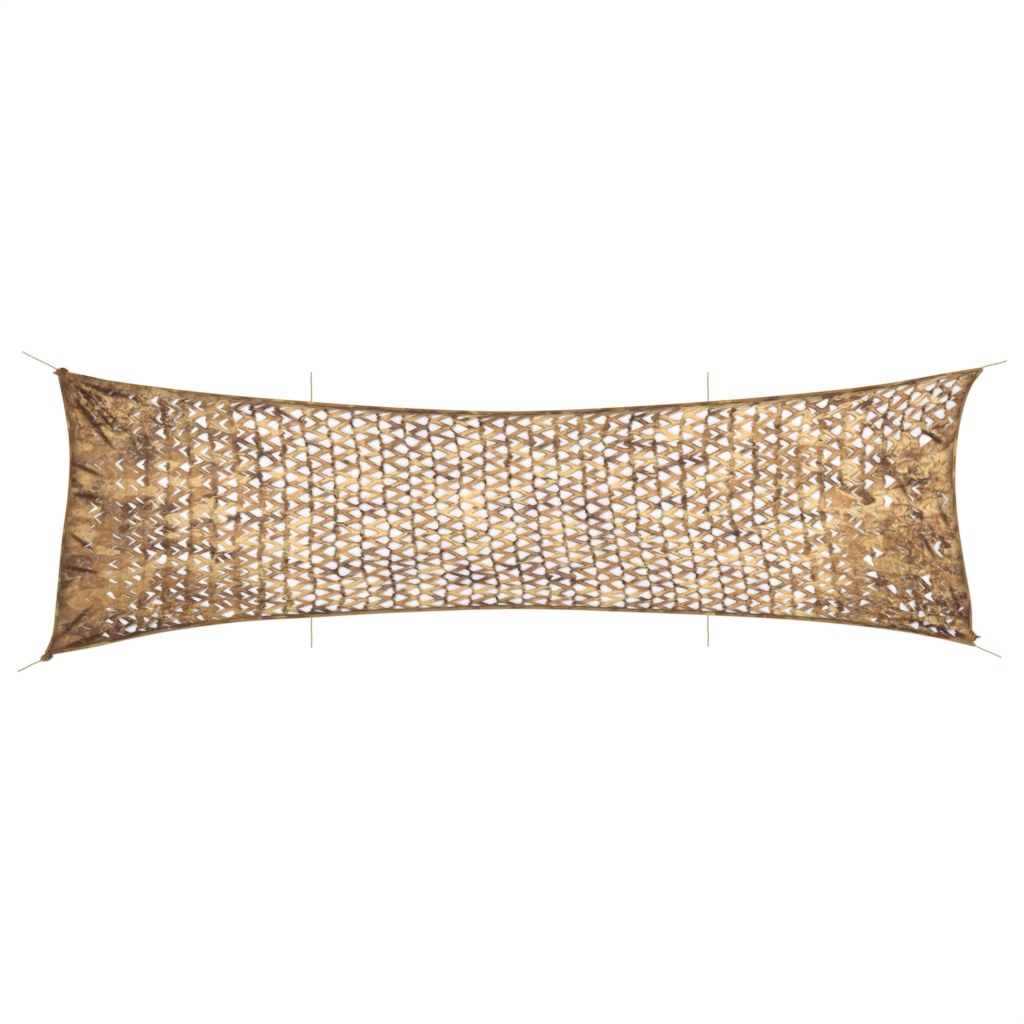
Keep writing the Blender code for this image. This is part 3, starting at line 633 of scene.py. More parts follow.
    def lay_leaves(self):
        """Leaves pleated at their foot, or turned right under onto the floor below the bands behind them."""
        turned, state, gape, away, fold = self.turned, self.state, self.gape, self.away, self.fold
        long = V_REACH - V_FOOT
        wide_of = np.clip(np.abs(away) / V_HALF, 0, 1)
        reach = np.clip(np.abs(self.from_spine) - ROOT_AWAY, 0, None)
        teeth = TEETH * np.clip(wander(self.x * 0.2, self.y, 63, 14, 0.42, 0.20), 0, 1)
        lying = 0.22 * np.clip(fold * 1.6 - 0.5, 0, 1) * np.clip(1.7 - 1.1 * gape, 0.4, 1)
        flat_part = long * (1 - wide_of) * np.where(turned, lying, 0.05)
        flat_part += np.where(turned, teeth, 0.0)
        share = np.clip((reach - flat_part) / long, 0, 1)
        bend, pleat = 0.25 + 2.6 * state**0.8, 0.45 + 0.45 * state
        under = -np.pi * (0.95 + 0.05 * self.tip_up)

        def pleating(t):
            return bend * np.cos(np.pi * t / pleat) * np.clip((pleat - t) / 0.12 + 1, 0, 1)

        def turning(t):
            return under * np.clip(t / TURN_SHARE, 0, 1)

        tucked, pleated = strip_along(share, turning), strip_along(share, pleating)
        out, up = (np.where(turned, f, a) for f, a in zip(tucked, pleated))
        along, rise = np.minimum(reach, flat_part) + long * out, long * up
        drawn = np.where(turned, 0.22 + 0.30 * self.back, (0.15 + 0.40 * fold) * state)
        pinch = 1 - drawn * np.clip(2.5 * share, 0, 1)
        bank = np.abs(away) * np.sqrt(np.clip(1 - pinch**2, 0, 1)) * np.where(turned, 0.0, 0.6)
        loose = np.clip(state / 0.14, 0, 1)
        overlapping = laid_out(self.x + (OVERLAP - 1) * self.from_spine, self.middle + OVERLAP * away)
        closed = overlapping - laid_out(self.root, self.y)
        slant = (self.lean - 0.5) * np.where(turned, 0.4 * out * long, 0.45 * rise)
        leafy = self.leafy
        self.places[leafy, 0] += (self.side * along * loose + closed[:, 0] * (1 - loose))[leafy]
        self.places[leafy, 1] += (away * (pinch - 1) * 0.9 + slant + closed[:, 1] * (1 - loose))[leafy]
        crest = SPINE_HIGH * self.standing + self.lift
        upright = np.clip(rise - bank, 0.0, None) + crest * np.exp(-8 * share) - SHUT_LOWER * (1 - loose)
        lying_low = np.clip(crest + rise, LEAF_LEAST, None)
        self.height = np.where(leafy, np.where(turned, lying_low, upright) + self.ground, self.height)
        self.share, self.pleat, self.reach = share, pleat, reach

    def roll_half_leaves(self):
        """The half leaves along the long hems, rolled towards the hem."""
        self.rolled = np.clip(self.gape * (0.55 + 0.9 * self.mood), 0, 1) * 0.85
        high_side = np.where(self.y > CUT_HIGH / 2, 1.0, -1.0)
        drawn_in = np.abs(self.away) * self.rolled * np.clip(self.reach / 0.012, 0, 1)
        self.places[self.halved, 1] += (high_side * drawn_in)[self.halved]
        self.height = np.where(self.halved, self.ground + drawn_in * 0.35, self.height)

    def shape(self):
        return np.column_stack([self.places, np.clip(self.height, 0, NET_HIGH)])

    def still(self):
        """How still the cloth lies, from 0 to 1: where it is still, it keeps its lengths as it settles."""
        return np.where(self.leafy, self.state < 0.05, self.slack)

    def leaf_shade(self):
        """How dark the pleats lie in their own shade; below 0, how pale what is turned under is."""
        in_shadow = np.clip((self.state - 0.12) * 2.2, 0, 0.80)
        in_shadow = in_shadow * np.clip(1.4 - self.share / self.pleat, 0, 1) * (0.25 + 0.75 * self.back)
        tucked_away = np.where(self.share > 0.6 * TURN_SHARE, -0.5, 0.0)
        return self.leafy * np.where(self.turned, tucked_away, in_shadow)

    def spine_shade(self):
        """Painted shade: the dark, broken line of a spine, where the cloth folds."""
        ragged = np.clip(2.3 * wander(self.x * 0.4, self.y, 77, 9, 0.9, 0.22) - 0.20, 0, 1)
        spine_shadow = np.exp(-((self.from_spine / SPINE_SHADOW_HALF) ** 2)) * (0.32 + 0.38 * self.back)
        spine_shadow = np.maximum(spine_shadow, ragged * np.exp(-((self.from_spine / BLOT_HALF) ** 2)))
        opened = np.maximum(self.gape * 1.4, self.leafy * self.state * 1.5)
        return spine_shadow * (self.inside * np.clip(opened - 0.08, 0, 1))

    def line_shade(self):
        """Painted shade in dark lines: along creases, on the lower flanks of the longer folds, and on the
        cloth beside the hems.
        """
        line = self.crumpled * CREASE_SHADE * np.exp(-((self.creased / CREASE_HALF) ** 2))
        flank = fold_height(self.places + FLANK_WAY) - fold_height(self.places)
        line = np.maximum(line, np.clip(flank / FLANK_DROP, 0, 1) * FLANK_SHADE)
        from_ends = np.minimum(self.x, CUT_LONG - self.x) + END_MARGIN_FLAT
        from_sides = np.minimum(self.y, CUT_HIGH - self.y) + SIDE_MARGIN_FLAT
        beside = np.exp(-((from_ends / BESIDE_END) ** 2)) * 0.85
        beside = np.maximum(beside, np.exp(-((from_sides / BESIDE_SIDE) ** 2)))
        cloudy = np.clip(0.78 + 0.3 * wander(self.x, self.y, 51, 9, 4.0, 0.8), 0, 0.95)
        return np.maximum(line, beside * cloudy)

    def looks(self):
        """What the cloth's finish reads at each point: painted shade and highlights, how crumpled the cloth
        is, and the painted shade of slack stretches.
        """
        shade, spine_shadow, line = self.leaf_shade(), self.spine_shade(), self.line_shade()
        shade = np.where(spine_shadow > 0.1, np.maximum(shade, spine_shadow * ~self.halved), shade)
        # The rolled half leaves get painted shade: the more they roll, the darker.
        shade = np.where(self.halved, 0.35 * self.rolled, shade)
        return {
            "shade": np.where(line > 0.1, np.maximum(shade, line), shade),
            "crumple": np.maximum(self.crumpled, 0.35 * self.slack),
            "slack_shade": within(SHADED, self.places),
        }

    def rim_highlights(self):
        """Which leaves are nearly shut where the cuts around them gape: their edges get a painted highlight.
        """
        return self.leafy * np.clip(1 - 4 * self.state, 0, 1) * np.clip(8 * self.gape - 0.4, 0, 1)


def edges_of(triangles):
    """A mesh's edges (n, 2), each once, and how many triangles each belongs to."""
    sides = np.concatenate([triangles[:, [0, 1]], triangles[:, [1, 2]], triangles[:, [2, 0]]])
    return np.unique(np.sort(sides, axis=1), axis=0, return_counts=True)


def settled_lengths(points, kinds, edges, shape, still):
    """How long each edge should be once the cloth has settled, by its length in the cut and as first laid."""
    x, y = points.T
    grow_x, grow_y = 1 + UNEVEN_PITCH * wander(x, y, 31), 1 + UNEVEN_PITCH * wander(x, y, 32)
    i, j = edges.T
    cut = np.hypot((x[j] - x[i]) * (grow_x[i] + grow_x[j]) / 2, (y[j] - y[i]) * (grow_y[i] + grow_y[j]) / 2)
    now = np.linalg.norm(shape[j] - shape[i], axis=1)
    halved = half_leaves(kinds, y)
    at_hem = (np.minimum(y[i], y[j]) < 0) | (np.maximum(y[i], y[j]) > CUT_HIGH) | halved[i] | halved[j]
    leafy = (kinds[i] != BAND) & (kinds[j] != BAND)
    rest = np.where(at_hem, now, KEEP * now + (1 - KEEP) * cut)
    rest = np.where(leafy, LEAF_KEEP * np.minimum(now, cut) + (1 - LEAF_KEEP) * cut, rest)
    closed = np.clip(((still[i] + still[j]) / 2 - STILL_FROM) / STILL_OVER, 0, 1)
    return rest * (1 - closed) + now * closed


def relax(edges, rest, shape, held):
    """Lets the cloth settle on a floor, from its first shape and towards its edges' lengths at rest."""
    i, j = edges.T
    count = len(shape)
    valence = np.bincount(i, minlength=count) + np.bincount(j, minlength=count)
    free = np.where(held, 0.0, EASING / valence)
    loose = (~held)[:, None] * 1.0
    place, before = shape.copy(), shape.copy()
    for _ in range(ROUNDS):
        speed = (place - before) * CARRIED_ON
        before = place.copy()
        place = place + speed * loose
        gap = place[j] - place[i]
        length = np.sqrt((gap * gap).sum(axis=1))
        off = length - rest
        move = gap * (np.where(off > 0, 1.0, PUSH) * off / np.maximum(length, 1e-9))[:, None]
        drawn = place - shape
        for axis in range(3):
            total = np.bincount(i, move[:, axis], count) - np.bincount(j, move[:, axis], count)
            place[:, axis] += total * free
            mean = (np.bincount(i, drawn[j, axis], count) + np.bincount(j, drawn[i, axis], count)) / valence
            place[:, axis] += SMOOTHING * (mean - drawn[:, axis]) * loose[:, 0]
        place[:, 2] = np.clip(place[:, 2], 0.0, NET_HIGH)
    return place


# Finishes

LIGHT_TAKEN = 1.085          # the cloth's own colour, as a share of how bright it looks in this light
THREAD_SCALE = 190.0


class Value:
    """A shader number that takes part in plain arithmetic."""

    def __init__(self, finish, socket):
        self.finish, self.socket = finish, socket

    def __add__(self, other):
        return self.finish.maths("ADD", self, other)

    def __radd__(self, other):
        return self.finish.maths("ADD", other, self)

    def __sub__(self, other):
        return self.finish.maths("SUBTRACT", self, other)

    def __rsub__(self, other):
        return self.finish.maths("SUBTRACT", other, self)

    def __mul__(self, other):
        return self.finish.maths("MULTIPLY", self, other)

    def __rmul__(self, other):
        return self.finish.maths("MULTIPLY", other, self)


class Finish:
    """A material, made node by node."""

    def __init__(self, name, roughness, **settings):
        self.material = bpy.data.materials.new(name)
        self.material.use_nodes = True
        self.tree = self.material.node_tree
        self.shader = self.tree.nodes["Principled BSDF"]
        self.shader.inputs["Roughness"].default_value = roughness
        for socket, value in settings.items():
            self.shader.inputs[socket.replace("_", " ")].default_value = value

    def node(self, kind, settings=None, values=None):
        made = self.tree.nodes.new("ShaderNode" + kind)
        for name, value in (settings or {}).items():
            setattr(made, name, value)
        for name, value in (values or {}).items():
            if isinstance(value, Value):
                self.tree.links.new(value.socket, made.inputs[name])
            else:
                made.inputs[name].default_value = value
        return made

    def out(self, node, name=0):
        return Value(self, node.outputs[name])

    def maths(self, operation, first, second=0.0):
        return self.out(self.node("Math", {"operation": operation}, {0: first, 1: second}))

    def mix(self, share, first, second, blend="MIX"):
        """Colours mixed."""
        settings = {"data_type": "RGBA", "blend_type": blend}
        first, second = ((*c, 1.0) if isinstance(c, tuple) else c for c in (first, second))
        return self.out(self.node("Mix", settings, {0: share, 6: first, 7: second}), 2)

    def place(self, scale=(1.0, 1.0, 1.0), turn=0.0, shift=(0.0, 0.0, 0.0), uv=None):
        """Object coordinates, or a UV map's, scaled and turned."""
        if uv:
            source = self.out(self.node("UVMap", {"uv_map": uv}))
        else:
            source = self.out(self.node("TexCoord"), "Object")
        values = {"Vector": source, "Scale": scale, "Rotation": (0.0, 0.0, turn), "Location": shift}
        return self.out(self.node("Mapping", None, values))

    def noise(self, place, scale, detail=2.0, roughness=0.5, distortion=0.0):
        values = {"Vector": place, "Scale": scale, "Detail": detail}
        values |= {"Roughness": roughness, "Distortion": distortion}
        return self.out(self.node("TexNoise", None, values), "Fac")

    def threads(self, place):
        """Where the cloth's warp and weft cross."""
        values = {"Vector": place, "Scale": THREAD_SCALE}
        warp, weft = (self.out(self.node("TexWave", {"bands_direction": way}, values), "Fac") for way in "XY")
        return warp * weft

    def between(self, value, low, high):
        """0 under low, 1 over high, smooth between."""
        settings = {"interpolation_type": "SMOOTHSTEP"}
        return self.out(self.node("MapRange", settings, {"Value": value, "From Min": low, "From Max": high}))

    def attribute(self, name):
        return self.out(self.node("Attribute", {"attribute_name": name}), "Fac")

    def colour(self, value):
        self.tree.links.new(value.socket, self.shader.inputs["Base Color"])

    def roughness(self, value):
        self.tree.links.new(value.socket, self.shader.inputs["Roughness"])

    def bump(self, height, depth, strength):
        """A relief of this depth, in metres."""
        made = self.node("Bump", None, {"Height": height, "Distance": depth, "Strength": strength})
        self.tree.links.new(made.outputs["Normal"], self.shader.inputs["Normal"])


def tone(red, green, blue):
    """A colour given as it looks, 0 to 255, and made linear; the light on the net is taken off."""
    return tuple(((c / 255) ** 2.2) * LIGHT_TAKEN for c in (red, green, blue))


CARAMEL = tone(198, 154, 106)
CARAMEL_DEEP = tone(170, 122, 73)
SAND = tone(230, 195, 135)
# pale sand of the print, also the colour of painted highlights
SAND_PALE = tone(241, 216, 166)
MAUVE_BROWN = tone(150, 114, 88)
DARK_BROWN = tone(100, 68, 46)
SHADE = tone(66, 35, 16)
# Tints of painted shade: for the net's slack stretches, and for the hem towards its left end
SLACK_SHADE_TINT = (0.38, 0.260, 0.152)
HEM_SHADE_TINT = (0.74, 0.79, 0.80)
HEM_OLIVE = tone(143, 114, 76)
HEM_DARK = tone(106, 79, 53)
HEM_TAN = tone(140, 107, 72)
HEM_SAND = tone(192, 158, 102)
BUNCH_COLOURS = (tone(96, 68, 42), tone(138, 106, 66), tone(164, 128, 80))
CORD_COLOURS = (tone(104, 82, 34), tone(172, 142, 62), tone(196, 168, 96))
THREAD_COLOURS = (tone(150, 122, 78), tone(120, 94, 58))
FLOOR_COLOUR = (0.888, 0.905, 0.940, 1.0)


def shaded(finish, colour):
    """The colour, darker where the piece's shade is over 0 and paler where it is under 0: painted shade and
    painted highlights, with the pale reverse of leaves turned under.
    """
    shade = finish.attribute("shade")
    return finish.mix(0.0 - shade, finish.mix(shade, colour, SHADE), SAND_PALE)


def desert_print(finish, place, slack_shade):
    """Patches and branches of sand and patches of brown on caramel, browner in slack stretches and darkened
    there with painted shade.
    """
    warp = finish.node("TexNoise", None, {"Vector": place, "Scale": 14.0, "Detail": 2.0})
    push = {0: finish.out(warp, "Color"), 1: (0.045, 0.035, 0.0), 2: place}
    moved = finish.out(finish.node("VectorMath", {"operation": "MULTIPLY_ADD"}, push))

    def field(scale, shift, detail=1.5, roughness=0.5):
        shifted = finish.node("VectorMath", {"operation": "ADD"}, {0: moved, 1: (*shift, 0.0)})
        return finish.noise(finish.out(shifted), scale, detail, roughness)

    brown, sand, branch = field(8.6, (3.1, 7.7)), field(8.2, (0.0, 0.0)), field(6.5, (5.2, 2.6), 3.0)
    broad = (field(3.6, (6.3, 2.8), 0.0) - 0.5) * slack_shade
    brown, sand = brown + broad * 1.1, sand - broad * 0.8
    colour = finish.mix(finish.between(field(17.0, (1.7, 4.4)), 0.38, 0.62) * 0.65, CARAMEL, CARAMEL_DEEP)
    browned = finish.between(brown + slack_shade * 0.070, 0.520, 0.560)
    sanded = finish.between(sand, 0.535, 0.575)
    nearness = finish.maths("ABSOLUTE", branch - 0.5)
    strokes = 1.0 - finish.between(nearness, 0.010, 0.028)
    strokes = strokes * finish.between(field(5.0, (8.8, 1.2)), 0.45, 0.52) * (1.0 - slack_shade * 0.75)
    colour = finish.mix(browned, colour, MAUVE_BROWN)
    colour = finish.mix(finish.between(brown + slack_shade * 0.030, 0.600, 0.650) * 0.8, colour, DARK_BROWN)
    colour = finish.mix(sanded, colour, SAND)
    colour = finish.mix(strokes * 0.85, colour, SAND)
    worn = finish.between(field(26.0, (2.2, 9.1), 4.0, 0.65), 0.52, 0.68) * (1.0 - slack_shade * 0.7)
    colour = finish.mix(worn * 0.40, colour, SAND_PALE)
    # Painted shade over the slack stretches, less of it over their brown patches.
    deepened = slack_shade * (1.0 - browned * (1.0 - sanded) * 0.55)
    return finish.mix(deepened, colour, SLACK_SHADE_TINT, "MULTIPLY")


def cloth_finish():
    finish = Finish("camouflage_cloth", 0.55, Sheen_Weight=0.05, Sheen_Roughness=0.4, Specular_IOR_Level=0.22)
    place = finish.place((0.62, 1.15, 1.0), uv="cut")
    colour = desert_print(finish, place, finish.attribute("slack_shade"))
    crumple = finish.attribute("crumple")
    puckers = finish.noise(finish.place((1.0, 0.75, 1.0), 0.5, uv="cut"), 36.0, 3.0, 0.55, 1.2)
    # Painted shade in the puckers' hollows and painted highlights on their crests, where the cloth is
    # crumpled.
    colour = finish.mix((1.0 - finish.between(puckers, 0.36, 0.47)) * crumple * 0.55, colour, SHADE)
    colour = finish.mix(finish.between(puckers, 0.52, 0.62) * crumple * 0.42, colour, SAND_PALE)
    finish.colour(shaded(finish, colour))
    weave = finish.place(uv="cut")
    finish.bump(finish.threads(weave) * 0.06 + puckers * (0.5 + 1.5 * crumple), 0.0045, 0.8)
    finish.roughness(finish.noise(weave, 30.0) * 0.25 + 0.42)
    return finish.material


def hem_finish():
    finish = Finish("hem_cloth", 0.6, Sheen_Weight=0.05, Sheen_Roughness=0.4, Specular_IOR_Level=0.22)
    squeezed = (1.0, 1.6, 1.0)
    first = finish.noise(finish.place(squeezed, uv="cut"), 7.5, 2.0, 0.5, 0.4)
    second = finish.noise(finish.place(squeezed, shift=(4.2, 1.0, 0.0), uv="cut"), 9.0)
    third = finish.noise(finish.place(squeezed, shift=(1.7, 5.2, 0.0), uv="cut"), 11.0)
    colour = finish.mix(finish.between(first, 0.40, 0.56), HEM_DARK, HEM_OLIVE)
    colour = finish.mix(finish.between(second, 0.50, 0.64), colour, HEM_TAN)
    colour = finish.mix(finish.between(third, 0.60, 0.67) * 0.8, colour, HEM_SAND)
    # Painted shade towards the hem's left end, darker and greyer.
    colour = finish.mix(finish.attribute("slack_shade"), colour, HEM_SHADE_TINT, "MULTIPLY")
    finish.colour(shaded(finish, colour))
    fine = finish.place(uv="cut")
    finish.bump(finish.threads(fine) * 0.15 + finish.noise(fine, 60.0, 3.0), 0.0012, 0.6)
    return finish.material


def bunch_finish():
    finish = Finish("bunched_cloth", 0.7, Sheen_Weight=0.05, Specular_IOR_Level=0.22)
    place = finish.place()
    dark, middling, pale = BUNCH_COLOURS
    colour = finish.mix(finish.between(finish.noise(place, 30.0, 3.0), 0.42, 0.58), dark, middling)
    colour = finish.mix(finish.between(finish.noise(place, 60.0, 3.0), 0.52, 0.66), colour, pale)
    colour = finish.mix(finish.attribute("shade"), colour, SHADE)
    finish.colour(colour)
    finish.bump(finish.noise(place, 160.0, 4.0), 0.0015, 0.6)
    return finish.material


def cord_finish():
    finish = Finish("beige_cord", 0.75, Sheen_Weight=0.2)
    place = finish.place()
    groove, crown, fibre = CORD_COLOURS
    # Painted shade in the grooves between the strands.
    colour = finish.mix(finish.between(finish.attribute("strand"), 0.15, 0.75), groove, crown)
    colour = finish.mix(finish.between(finish.noise(place, 300.0, 3.0), 0.4, 0.7) * 0.30, colour, fibre)
    finish.colour(colour)
    finish.bump(finish.noise(place, 900.0, 2.0), 0.0006, 0.5)
    return finish.material


def thread_finish():
    finish = Finish("hem_thread", 0.6)
    finish.colour(finish.mix(finish.noise(finish.place(), 200.0), *THREAD_COLOURS))
    return finish.material


def floor_finish():
    finish = Finish("pale_floor", 0.9)
    finish.shader.inputs["Base Color"].default_value = FLOOR_COLOUR
    finish.shader.inputs["Specular IOR Level"].default_value = 0.0
    return finish.material


# Pieces

HEM_STEP = 0.022             # along the hem, from one place to the next
HEM_EASING = 12              # the higher, the nearer to its corners the hem bends into them
HEM_LEAST = 0.0003           # from the floor to the hem's underside
HEM_WAVE = 0.0016            # how much thicker it is where it puckers
HEM_DARK_FROM = 0.74         # share of the hem's width where the painted shade on its inner side starts
HEM_INNER_SHADE = 0.68
HEM_FOLD_UNTIL = 0.05        # share of the hem's width where the painted highlight on its outer fold ends
HEM_FOLD_HIGHLIGHT = -0.7
HEM_SHADE_FROM = -0.9         # the hem's painted shade grows from here to the left,
HEM_SHADE_OVER = 1.2          # over this distance
HEM_PROFILE = (              # share of the width from the outer fold, share of the thickness
    (0.02, 0.15), (0.00, 0.50), (0.03, 0.85), (0.12, 1.00), (0.45, 0.95), (0.68, 0.90),
    (0.76, 0.55), (0.84, 0.50), (0.92, 0.70), (1.00, 0.55), (1.00, 0.10), (0.50, 0.05),
)
STITCH_ACROSS = 0.80         # share of the hem's width from its outer fold
STITCH_HIGH = 0.75           # share of the hem's thickness
STITCH_PITCH = 0.0042
STITCH_SIZE = (0.0009, 0.0009, 0.0032)
SEAM_STEP = 0.05
BUNCHES = (                  # replaced piece, outline, height, direction of its pleats
    ("corner_knot_top_left", (
        (-2.414, 0.750), (-2.396, 0.772), (-2.409, 0.784), (-2.430, 0.792), (-2.458, 0.782),
        (-2.466, 0.772), (-2.482, 0.762), (-2.462, 0.754), (-2.449, 0.741), (-2.438, 0.722),
    ), 0.018, 0.55),
    ("corner_knot_bottom_left", (
        (-2.491, -0.752), (-2.510, -0.763), (-2.530, -0.758), (-2.541, -0.768), (-2.547, -0.779),
        (-2.545, -0.793), (-2.531, -0.795), (-2.512, -0.794), (-2.496, -0.785), (-2.480, -0.768),
    ), 0.020, 0.85),
    ("corner_knot_bottom_right", (
        (2.487, -0.627), (2.468, -0.640), (2.462, -0.664), (2.476, -0.684), (2.493, -0.688),
        (2.507, -0.680), (2.513, -0.670), (2.537, -0.664), (2.512, -0.656), (2.498, -0.640),
    ), 0.016, 1.25),
)
BUNCH_WIDE = 0.060
BUNCH_PLEATS = 3.5           # across a bunch
BUNCH_RINGS = 14
BUNCH_STEPS = 8              # between two places of its outline
CORDS = (                    # name, route
    ("tie_top_left", ((-2.458, 0.782), (-2.515, 0.812), (-2.590, 0.848), (-2.646, 0.878))),
    ("tie_top_left_inner", ((-1.084, 0.608), (-1.083, 0.660), (-1.085, 0.720), (-1.084, 0.766))),
    ("tie_top_right_inner", ((1.060, 0.610), (1.061, 0.660), (1.059, 0.720), (1.060, 0.765))),
    ("tie_top_right", ((2.547, 0.795), (2.590, 0.806), (2.635, 0.816), (2.675, 0.828))),
    ("tie_bottom_left", ((-2.545, -0.793), (-2.585, -0.808), (-2.630, -0.832), (-2.671, -0.851))),
    ("tie_bottom_left_inner", ((-1.083, -0.560), (-1.084, -0.610), (-1.082, -0.670), (-1.083, -0.722))),
    ("tie_bottom_right_inner", ((1.060, -0.548), (1.059, -0.600), (1.061, -0.660), (1.060, -0.715))),
    ("tie_bottom_right", ((2.514, -0.716), (2.560, -0.738), (2.605, -0.756), (2.645, -0.775))),
)
CORD_STEP = 0.0011           # along a cord, from one ring to the next
CORD_SIDES = 18
CORD_FLUTE = 0.20            # how deep the grooves between its strands are, as a share of the radius
STRANDS = 3
LAY_LENGTH = 0.013           # the strands go once round in this length


def add_object(name, data):
    made = bpy.data.objects.new(name, data)
    bpy.context.scene.collection.objects.link(made)
    return made


def add_mesh(name, points, faces, material, uvs=None, attributes=None):
    """A mesh object at the origin. uvs (n, 2) and attributes {name: (n,)} are given for each point."""
    mesh = bpy.data.meshes.new(name)
    points, faces = np.asarray(points, dtype=float), [tuple(int(i) for i in f) for f in faces]
    mesh.from_pydata([tuple(p) for p in points], [], faces)
    corners = np.zeros(len(mesh.loops), dtype=np.int32)
    mesh.loops.foreach_get("vertex_index", corners)
    if uvs is not None:
        layer = mesh.uv_layers.new(name="cut")
        layer.data.foreach_set("uv", np.asarray(uvs, dtype=np.float32)[corners].ravel())
    for key, values in (attributes or {}).items():
        layer = mesh.attributes.new(key, "FLOAT", "POINT")
        layer.data.foreach_set("value", np.asarray(values, dtype=np.float32))
    mesh.materials.append(material)
    mesh.shade_smooth()
    mesh.update()
    return add_object(name, mesh)


def ring_faces(rings, count, closed=False):
    """Quads between rings of count points each, and from the last ring to the first if they are closed."""
    faces = []
    for r in range(rings if closed else rings - 1):
        s = (r + 1) % rings
        for i in range(count):
            j = (i + 1) % count
            faces.append((r * count + i, r * count + j, s * count + j, s * count + i))
    return faces


def outward_faces(piece):
    bm = bmesh.new()
    bm.from_mesh(piece.data)
    bmesh.ops.recalc_face_normals(bm, faces=bm.faces)
    bm.to_mesh(piece.data)
    bm.free()


def spline_part(before, start, end, after, t):
    """Places on a smooth curve from start to end, t from 0 to 1, by the places before and after them."""
    bend, twist = 2 * before - 5 * start + 4 * end - after, 3 * start - before - 3 * end + after
    return 0.5 * (2 * start + (end - before) * t + bend * t**2 + twist * t**3)


def length_along(path):
    return np.concatenate([[0.0], np.cumsum(np.linalg.norm(np.diff(path, axis=0), axis=1))])


def registered(piece, replaced=None):
    """The piece, attached to the root, with the solid it stands in for hidden, if there is one."""
    if replaced:
        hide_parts(replaced)
    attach(piece, "root")
    return piece


def make_net(material):
    points, kinds, triangles = flat_cut()
    drape = Drape(points, kinds)
    shape, looks = drape.shape(), drape.looks()
    x, y = points.T
    held = (y < -SIDE_MARGIN_FLAT / 2 - HELD_EDGE) | (y > CUT_HIGH + SIDE_MARGIN_FLAT / 2 + HELD_EDGE)
    held |= (x < HELD_EDGE - END_MARGIN_FLAT) | (x > CUT_LONG + END_MARGIN_FLAT - HELD_EDGE)
    shape[held, 2] = HEM_THICK / 2
    edges, triangle_count = edges_of(triangles)
    rest = settled_lengths(points, kinds, edges, shape, drape.still())
    shape = relax(edges, rest, shape, held)
    first, second, third = (points[triangles[:, k]] for k in range(3))
    flip = np.cross(second - first, third - first)
    triangles[flip < 0] = triangles[flip < 0][:, ::-1]
    rim = np.zeros(len(points), dtype=bool)
    rim[edges[triangle_count == 1]] = True
    shade, on_band = looks["shade"], kinds == BAND
    # The bands' cut edges get painted shade and painted highlights, and the edges of nearly shut leaves
    # painted highlights.
    shade = np.where(rim & on_band & (shade < 0.3), band_edge_shade(points, drape.slack), shade)
    looks["shade"] = np.where(rim & ~on_band, shade - 0.7 * drape.rim_highlights(), shade)
    net = add_mesh("net_cloth", shape, triangles, material, points, looks)
    return registered(net, "net_panel")


def band_edge_shade(points, slack):
    """How dark the painted shade on the bands' cut edges is, or below 0 how pale their painted highlight is.
    """
    draw = np.random.default_rng(5)
    turned = by_join(draw.uniform(-0.6, 1.4, JOINS), points[:, 0] + 0.03, points[:, 1])
    upper = np.sin(2 * np.pi * points[:, 1] / ROW_PITCH + 1.0) * 0.3
    return np.clip(turned + upper, -0.6, 0.92) * np.clip(4 * (1 - slack) - 0.4, 0, 1)


def hem_path(step):
    """The hem's outer line, anticlockwise from the left end of the bottom hem."""
    (low_left, high_left), (low_right, high_right) = LEFT_CORNERS, RIGHT_CORNERS

    def spaced(low, high):
        return np.linspace(low, high, max(round(abs(high - low) / step), 2) + 1)[:-1]

    def eased(line, at, from_x, start, end):
        """The line, brought to its corners at both ends."""
        other = line(at)
        share = np.clip((at - at[0]) / (at[-1] - at[0]), 0, 1)
        other += (start - other[0]) * (1 - share) ** HEM_EASING + (end - other[-1]) * share**HEM_EASING
        return np.stack([at, other] if from_x else [other, at], axis=1)

    return np.concatenate([
        eased(BOTTOM_LINE, spaced(low_left[0], low_right[0]), True, low_left[1], low_right[1]),
        eased(RIGHT_LINE, spaced(low_right[1], high_right[1]), False, low_right[0], high_right[0]),
        eased(TOP_LINE, spaced(high_right[0], high_left[0]), True, high_right[1], high_left[1]),
        eased(LEFT_LINE, spaced(high_left[1], low_left[1]), False, high_left[0], low_left[0]),
    ])


def inward_from(path):
    """Ways inwards (n, 2) from a closed outline, longer at its corners, so that the hem keeps its width."""
    before = path - np.roll(path, 1, axis=0)
    after = np.roll(path, -1, axis=0) - path
    before = before / np.linalg.norm(before, axis=1)[:, None]
    after = after / np.linalg.norm(after, axis=1)[:, None]
    inward = np.stack([-before[:, 1] - after[:, 1], before[:, 0] + after[:, 0]], axis=1)
    inward /= np.linalg.norm(inward, axis=1)[:, None]
    mitre = 1 / np.clip((inward * np.stack([-before[:, 1], before[:, 0]], axis=1)).sum(axis=1), 0.6, 1)
    return inward, mitre


